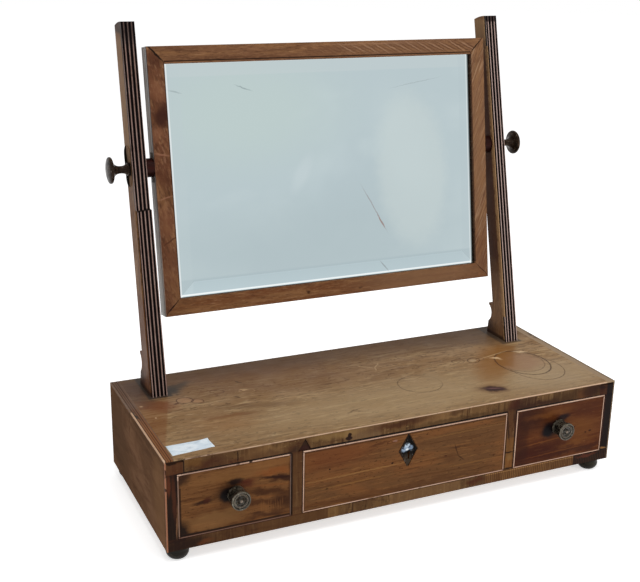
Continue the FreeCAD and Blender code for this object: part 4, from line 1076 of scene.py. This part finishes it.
def turned(name, profile, seat, axis, material, body, replaced, beads=None):
    """Spins a profile about an axis through its seat; beads is (radius, height, size, count)."""
    mesh = bmesh.new()
    turns = [2 * math.pi * k / STEPS for k in range(STEPS)]
    skin(mesh, [[mesh.verts.new((radius * math.cos(turn), radius * math.sin(turn), height))
                 for turn in (turns if radius else turns[:1])] for radius, height in profile])
    if beads:
        ring, level, size, count = beads
        for k in range(count):
            turn = 2 * math.pi * k / count
            made = bmesh.ops.create_icosphere(mesh, subdivisions=2, radius=size)["verts"]
            bmesh.ops.translate(mesh, verts=made, vec=(ring * math.cos(turn), ring * math.sin(turn), level))
    bmesh.ops.recalc_face_normals(mesh, faces=mesh.faces)
    facing = Vector(axis).to_track_quat("Z", "Y").to_matrix().to_4x4()
    bmesh.ops.transform(mesh, matrix=Matrix.Scale(MM, 4) @ Matrix.Translation(seat) @ facing, verts=mesh.verts)
    piece = settle(mesh, name, smooth=True)
    piece.data.materials.append(material)
    rounding = piece.modifiers.new("rounding", "BEVEL")
    rounding.width = 0.12 * MM
    rounding.segments = 2
    rounding.angle_limit = math.radians(35)
    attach(piece, body)
    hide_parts(replaced)
    print(name, "faces:", len(piece.data.polygons))


# %% [markdown]
# ## Drawer knobs
#
# Each side drawer has one brass knob: a base, a waist, and a broad face with a
# bright rim, a ring of fine beads and a small nub in a dark hollow. Dirt has
# stayed in the grooves and fingers have kept the ridges bright, so the colour goes
# by rings. Where the brass is tarnished, the skin of oxide is no metal, and it is
# given less of the metallic value. The centre drawer has no knob, only its key.

# %% Knobs on the drawers
FACE_Y = -130.09  # mm, the plane that the knobs and the escutcheon stand on
DRAWER_KNOB = [
    (0, -11), (2, -9), (2, 0), (9.5, 0), (9.8, 0.6), (9.8, 1.8), (9.5, 2.6), (9.2, 3.0), (9.1, 3.6), (9.1, 5.6),
    (9.1, 9.4), (9.2, 11.0), (9.5, 12.0), (9.9, 12.9), (10.5, 13.6), (10.8, 14.4), (10.8, 16.2),
    (10.5, 17.2), (10.0, 17.8), (9.4, 17.9), (9.0, 17.5), (8.7, 16.7), (8.3, 16.3), (6.0, 16.3),
    (5.6, 16.6), (5.2, 16.5), (4.9, 15.9), (4.3, 15.5), (3.0, 15.5), (2.5, 16.0), (2.2, 17.0),
    (1.4, 17.7), (0, 18.0),
]
for side in ("left", "right"):
    low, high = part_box(side + "_drawer_knob")
    centre = (low + high) / (2 * MM)
    here = (centre.x, centre.z)
    brass = coat("turned brass patinated " + side, {"Metallic": 1.0}, "#403a30", [
        ("#57554a", (7, 7, 7), 0.45, 0.62, 0.6),
        ("#a09a86", (3.2, 3.2, 3.2), 0.61, 0.70, 0.75),
        ("#171311", (3, 3, 3), 0.55, 0.66, 0.75),
    ], (0.2, 0.34), 0.25, marks=[("front", [
        ("groove", *here, 10.1, 10.1, 0, "#6b6152", 0.5, 0.07),
        ("groove", *here, 8.55, 8.55, 0, "#14100e", 0.85, 0.04),
        ("groove", *here, 7.15, 7.15, 0, "#75675a", 0.7, 0.12),
        ("groove", *here, 5.3, 5.3, 0, "#15100d", 0.9, 0.16),
        ("groove", *here, 3.4, 3.4, 0, "#1a120d", 0.9, 0.45),
        ("groove", *here, 0.9, 0.9, 0, "#8a7767", 0.8, 0.9),
    ])], seed=centre.x, rubbed=(3, 0.45, 0.6, 0.3, 1.0))
    turned(side + "_beaded_knob", DRAWER_KNOB, (centre.x, FACE_Y, centre.z), (0, -1, 0), brass,
           side + "_drawer", side + "_drawer_knob", beads=(7.15, 16.35, 0.72, 22))

# %% [markdown]
# ## Pivot knobs
#
# The mirror hangs on two screws with knobs to turn them. Each has a flange, a
# waisted neck and a broad domed head with a rounded rim, its back dished
# like a trumpet's bell.

# %% Knobs on the pivots
low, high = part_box("left_pivot_screw")
CROWN = 24.2  # mm, from the plate under the knob to its top
seat = -low.x / MM - CROWN
tip = CROWN - (high.x - low.x) / MM
PIVOT_KNOB = [
    (0, tip), (1.9, tip), (2.5, tip + 0.6), (2.5, 0), (7.0, 0), (7.2, 0.5), (7.0, 1.2), (6.3, 1.5),
    (6.5, 2.1), (6.1, 2.8), (5.2, 3.6), (4.5, 5.4), (4.2, 8.0), (4.3, 10.6), (4.9, 13.0),
    (6.3, 15.2), (8.6, 16.9), (11.2, 18.0), (13.2, 18.5), (14.5, 19.0), (15.0, 19.9), (15.0, 21.0), (14.6, 21.9), (13.6, 22.5),
    (11.6, 23.1), (8.6, 23.7), (4.8, 24.1), (0, CROWN),
]
for side, sign in (("left", -1), ("right", 1)):
    turned(side + "_pivot_knob", PIVOT_KNOB, (sign * seat, PIVOT[1], PIVOT[2]), (sign, 0, 0), pivot_brass,
           side + "_pivot_screw", side + "_pivot_screw")

# %% [markdown]
# ## Escutcheon
#
# A lozenge let into the middle drawer round the keyhole. Its face is dark: a
# painted highlight of bluish white lies in the middle, black above, brown and
# speckled below, inside a dark rim with a fine bright edge. It is built as rings of the
# lozenge, so the rim can stand up and the field sink, and the keyhole is cut through.

# %% Escutcheon plate
LOZENGE = (-1.4, 78.6)
HALF_WIDE, HALF_TALL = 11.6, 20.4
KEY_EYE, KEY_RADIUS, KEY_FOOT, KEY_SLOT = 75.0, 1.9, 67.0, 1.1


def lozenge_point(turn, share):
    """A point of the lozenge's outline, by its angle, at a share of its size."""
    c, s = math.cos(turn), math.sin(turn)
    reach = share / (abs(c) / HALF_WIDE + abs(s) / HALF_TALL)
    return LOZENGE[0] + reach * c, LOZENGE[1] + reach * s


mesh = bmesh.new()
POINTS = 96
RINGS = [(1.0, 1.1), (1.0, 0.0), (0.985, -0.18), (0.93, -0.22), (0.885, -0.05), (0.86, 0.22),
         (0.7, 0.25), (0.5, 0.3), (0.3, 0.25), (0.12, 0.3)]  # share of the size, depth in mm
loops = []
for share, depth in RINGS:
    line = [lozenge_point(2 * math.pi * k / POINTS, share) for k in range(POINTS)]
    loops.append([mesh.verts.new((x, FACE_Y + depth, z)) for x, z in line])
skin(mesh, loops)
mesh.faces.new(loops[-1])
mesh.faces.new(list(reversed(loops[0])))
bmesh.ops.recalc_face_normals(mesh, faces=mesh.faces)
bmesh.ops.transform(mesh, matrix=Matrix.Scale(MM, 4), verts=mesh.verts)
plate = settle(mesh, "escutcheon_plate")
print("rings of the lozenge:", len(loops))

# %% [markdown]
# The keyhole is cut by a Boolean with an outline of the key, a round eye over
# a narrow slot, that reaches from before the face to behind the plate.

# %% Cut the keyhole
outline = [(KEY_RADIUS * math.cos(math.radians(a)), KEY_EYE + KEY_RADIUS * math.sin(math.radians(a)))
           for a in range(-54, 235, 12)]
outline = [(KEY_SLOT, KEY_FOOT)] + outline + [(-KEY_SLOT, KEY_FOOT)]
mesh = bmesh.new()
near = [mesh.verts.new((x * MM, (FACE_Y - 2) * MM, z * MM)) for x, z in outline]
far = [mesh.verts.new((x * MM, (FACE_Y + 3) * MM, z * MM)) for x, z in outline]
mesh.faces.new(near)
mesh.faces.new(list(reversed(far)))
for k in range(len(outline)):
    after = (k + 1) % len(outline)
    mesh.faces.new([near[k], far[k], far[after], near[after]])
bmesh.ops.recalc_face_normals(mesh, faces=mesh.faces)
cutter = settle(mesh, "key_cutter")
cut = plate.modifiers.new("keyhole", "BOOLEAN")
cut.operation = "DIFFERENCE"
cut.object = cutter
cut.solver = "EXACT"
bpy.context.view_layer.update()
whole = bpy.data.meshes.new_from_object(plate.evaluated_get(bpy.context.evaluated_depsgraph_get()))
plate.modifiers.clear()
plate.data = whole
bpy.data.objects.remove(cutter)
print("escutcheon faces:", len(whole.polygons))

# %% [markdown]
# Its finish goes in layers, as paint does: a dark ground, then the painted
# highlight and the brown below, each at its place, then specks of dark, grey and brown over them.

# %% Flaked finish of the escutcheon
plate_finish, tree, shader, mm = begin("escutcheon with painted highlight over dark ground",
                                       {"IOR": 1.5, "Specular IOR Level": 0.03})
grain = shade = wash(tree, mm, colour("#0d0b0a"), [
    ("#1f1b17", (3, 3, 3), 0.52, 0.64, 0.7),
])
shade = mark(tree, mm, shade, "front", [
    ("dash", -1.0, 66, 6.5, 7, 0, "#3e342b", 0.95, 0.5),
    # bluish white patches: a painted highlight on the plate
    ("dash", -4.2, 80.5, 5.4, 3.4, 8, "#8fa0b4", 0.97, 0.3),
    ("dash", -2.0, 84.4, 3.2, 3.0, -20, "#b4c4d4", 0.97, 0.3),
    ("dash", 2.0, 81, 3.0, 3.2, 20, "#7c8ea4", 0.95, 0.35),
    ("dash", -2.2, 79.0, 1.6, 1.3, 0, "#e6edf3", 0.9, 0.5),
    ("dash", -1.0, 77.6, 4.5, 0.9, 12, "#14161b", 0.85, 0.5),
])
shade = wash(tree, mm, shade, [
    ("#0a0807", (3.0, 3.0, 3.0), 0.55, 0.60, 0.85),
    ("#7d7a76", (2.4, 2.4, 2.4), 0.64, 0.68, 0.55),
    ("#5a3f2c", (2.6, 2.6, 2.6), 0.66, 0.70, 0.55),
], 31.0)
finish(tree, shader, mm, shade, grain, (0.45, 0.6), 0.5)
whole.materials.clear()
whole.materials.append(plate_finish)
print(plate_finish.name, "on:", plate.name)
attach(plate, "centre_drawer")
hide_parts("escutcheon")

# %% [markdown]
# ## A paper label
#
# A saleroom's slip of white paper is stuck near the front left corner. It is left
# blank here. It is a thin grid bent by its four corners, so that it lies a
# little askew, with one corner lifting.

# %% Label
CORNERS = {"back_left": (-268.5, -95.9), "back_right": (-222.8, -95.2),
           "front_right": (-221.4, -115.4), "front_left": (-268.0, -119.6)}
ACROSS, DEEP = 40, 20
TOP_Z, PAPER = 117.55, 0.12
mesh = bmesh.new()
grid = []
for j in range(DEEP + 1):
    line = []
    for i in range(ACROSS + 1):
        u, v = i / ACROSS, j / DEEP
        back = [a + (b - a) * u for a, b in zip(CORNERS["back_left"], CORNERS["back_right"])]
        front = [a + (b - a) * u for a, b in zip(CORNERS["front_left"], CORNERS["front_right"])]
        x, y = [a + (b - a) * v for a, b in zip(front, back)]
        lift = 0.9 * max(0.0, u + v - 1.72) ** 1.5 * 8 + 0.12 * math.sin(9 * u) ** 2 * (1 - v)
        line.append(mesh.verts.new((x * MM, y * MM, (TOP_Z + lift) * MM)))
    grid.append(line)
for j in range(DEEP):
    for i in range(ACROSS):
        mesh.faces.new([grid[j][i], grid[j][i + 1], grid[j + 1][i + 1], grid[j + 1][i]])
label = settle(mesh, "paper_label", smooth=True)
thick = label.modifiers.new("paper", "SOLIDIFY")
thick.thickness = PAPER * MM
thick.offset = 1.0
label.data.materials.append(coat("white label paper", {"IOR": 1.45, "Specular IOR Level": 0.3}, "#cfdae2", [
    ("#e6ecf0", (12, 12, 12), 0.45, 0.65, 0.7),
    ("#a9b8c4", (9, 5, 5), 0.52, 0.7, 0.5),
    ("#a9b7c4", (3, 1.5, 2), 0.6, 0.72, 0.35),
], (0.6, 0.75), 0.1))
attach(label, "stand")

# %% [markdown]
# ## Floor
#
# A plain white table. It keeps the soft shadow of the case, so the case does not
# float, and for rays that come from the camera or from a mirror it is
# lifted a little to a clean white.

# %% Floor disc
RADIUS, LIFT = 9.0, 0.58  # metres, and how far it shines by itself for rays that see it


def seen_by(tree, *rays):
    """1 for camera rays and the other named rays, 0 for the rest."""
    path = put(tree, "LightPath").outputs
    seen = path["Is Camera Ray"]
    for ray in rays:
        seen = maths(tree, "MAXIMUM", seen, path[ray])
    return seen


mesh = bmesh.new()
bmesh.ops.create_circle(mesh, cap_ends=True, radius=RADIUS, segments=96)
floor = settle(mesh, "white_table")
floor_finish = bpy.data.materials.new("matt white board")
floor_finish.use_nodes = True
tree = floor_finish.node_tree
tree.nodes.clear()
lift = maths(tree, "MULTIPLY", seen_by(tree, "Is Glossy Ray"), LIFT)
matt = put(tree, "BsdfDiffuse", {"Color": colour("#f4f4f4")}).outputs[0]
glow = put(tree, "Emission", {"Color": (1, 1, 1, 1), "Strength": lift}).outputs[0]
put(tree, "OutputMaterial", {"Surface": put(tree, "AddShader", {0: matt, 1: glow}).outputs[0]})
floor.data.materials.append(floor_finish)
print("floor radius:", RADIUS, "m")

# %% [markdown]
# ## Light
#
# A studio tent: the world is a soft even light, and two large lamps give shape,
# one overhead towards the front, one low at the right. Two small ones are seen in
# metal alone, for the glints on knobs. To the camera, to metal and
# to glass the world shows as plain white.

# %% World and lamps
world = bpy.data.worlds.new("white tent")
bpy.context.scene.world = world
world.use_nodes = True
tree = world.node_tree
tree.nodes.clear()
AMBIENT = 0.5
level = ramp(tree, seen_by(tree, "Is Glossy Ray", "Is Transmission Ray"), 0.0, 1.0, AMBIENT, 1.0)
sky = put(tree, "Background", {"Color": (1, 1, 1, 1), "Strength": level}).outputs[0]
put(tree, "OutputWorld", {"Surface": sky})


def lamp(name, place, target, size, power):
    """A square area lamp that looks at a point."""
    data = bpy.data.lights.new(name, "AREA")
    data.shape = "SQUARE"
    data.size = size
    data.energy = power
    lit = show(name, data)
    lit.location = place
    lit.rotation_euler = (Vector(target) - Vector(place)).to_track_quat("-Z", "Y").to_euler()
    lit.visible_glossy = False
    return lit


lamp("overhead", (0.1, -0.5, 2.0), (0, 0, 0.1), 1.4, 20)
lamp("right_front", (1.1, -1.5, 0.5), (0, 0, 0.15), 0.8, 10)
for name, place in (("glint_left", (-1.6, -1.0, 1.3)), ("glint_right", (1.9, -1.0, 0.2))):
    glint = lamp(name, place, (0, -0.1, 0.1), 0.35, 2.2)
    glint.visible_glossy, glint.visible_diffuse = True, False

# %% [markdown]
# ## Camera
#
# The camera stands in front and to the left, a little higher than the top of the
# mirror, looks down on the case, and is rolled by a degree. It is built from its
# three directions, so nothing is left to a constraint.

# %% Camera
AZIMUTH, ELEVATION, ROLL = math.radians(24.617), math.radians(18.108), math.radians(0.987)
look = Vector((math.sin(AZIMUTH) * math.cos(ELEVATION), math.cos(AZIMUTH) * math.cos(ELEVATION),
               -math.sin(ELEVATION)))
right = Vector((math.cos(AZIMUTH), -math.sin(AZIMUTH), 0))
up = right.cross(look)
right, up = math.cos(ROLL) * right + math.sin(ROLL) * up, math.cos(ROLL) * up - math.sin(ROLL) * right
camera_data = bpy.data.cameras.new("portrait")
camera_data.lens = 61.107
camera_data.sensor_width = 36.0
camera_data.clip_end = 50.0
camera = show("portrait", camera_data)
facing = Matrix((right, up, -look)).transposed().to_4x4()
camera.matrix_world = Matrix.Translation((-0.54813, -1.08163, 0.61995)) @ facing
bpy.context.scene.camera = camera
bpy.context.scene.view_settings.view_transform = "Standard"
print("lens:", round(camera_data.lens, 2), "mm")
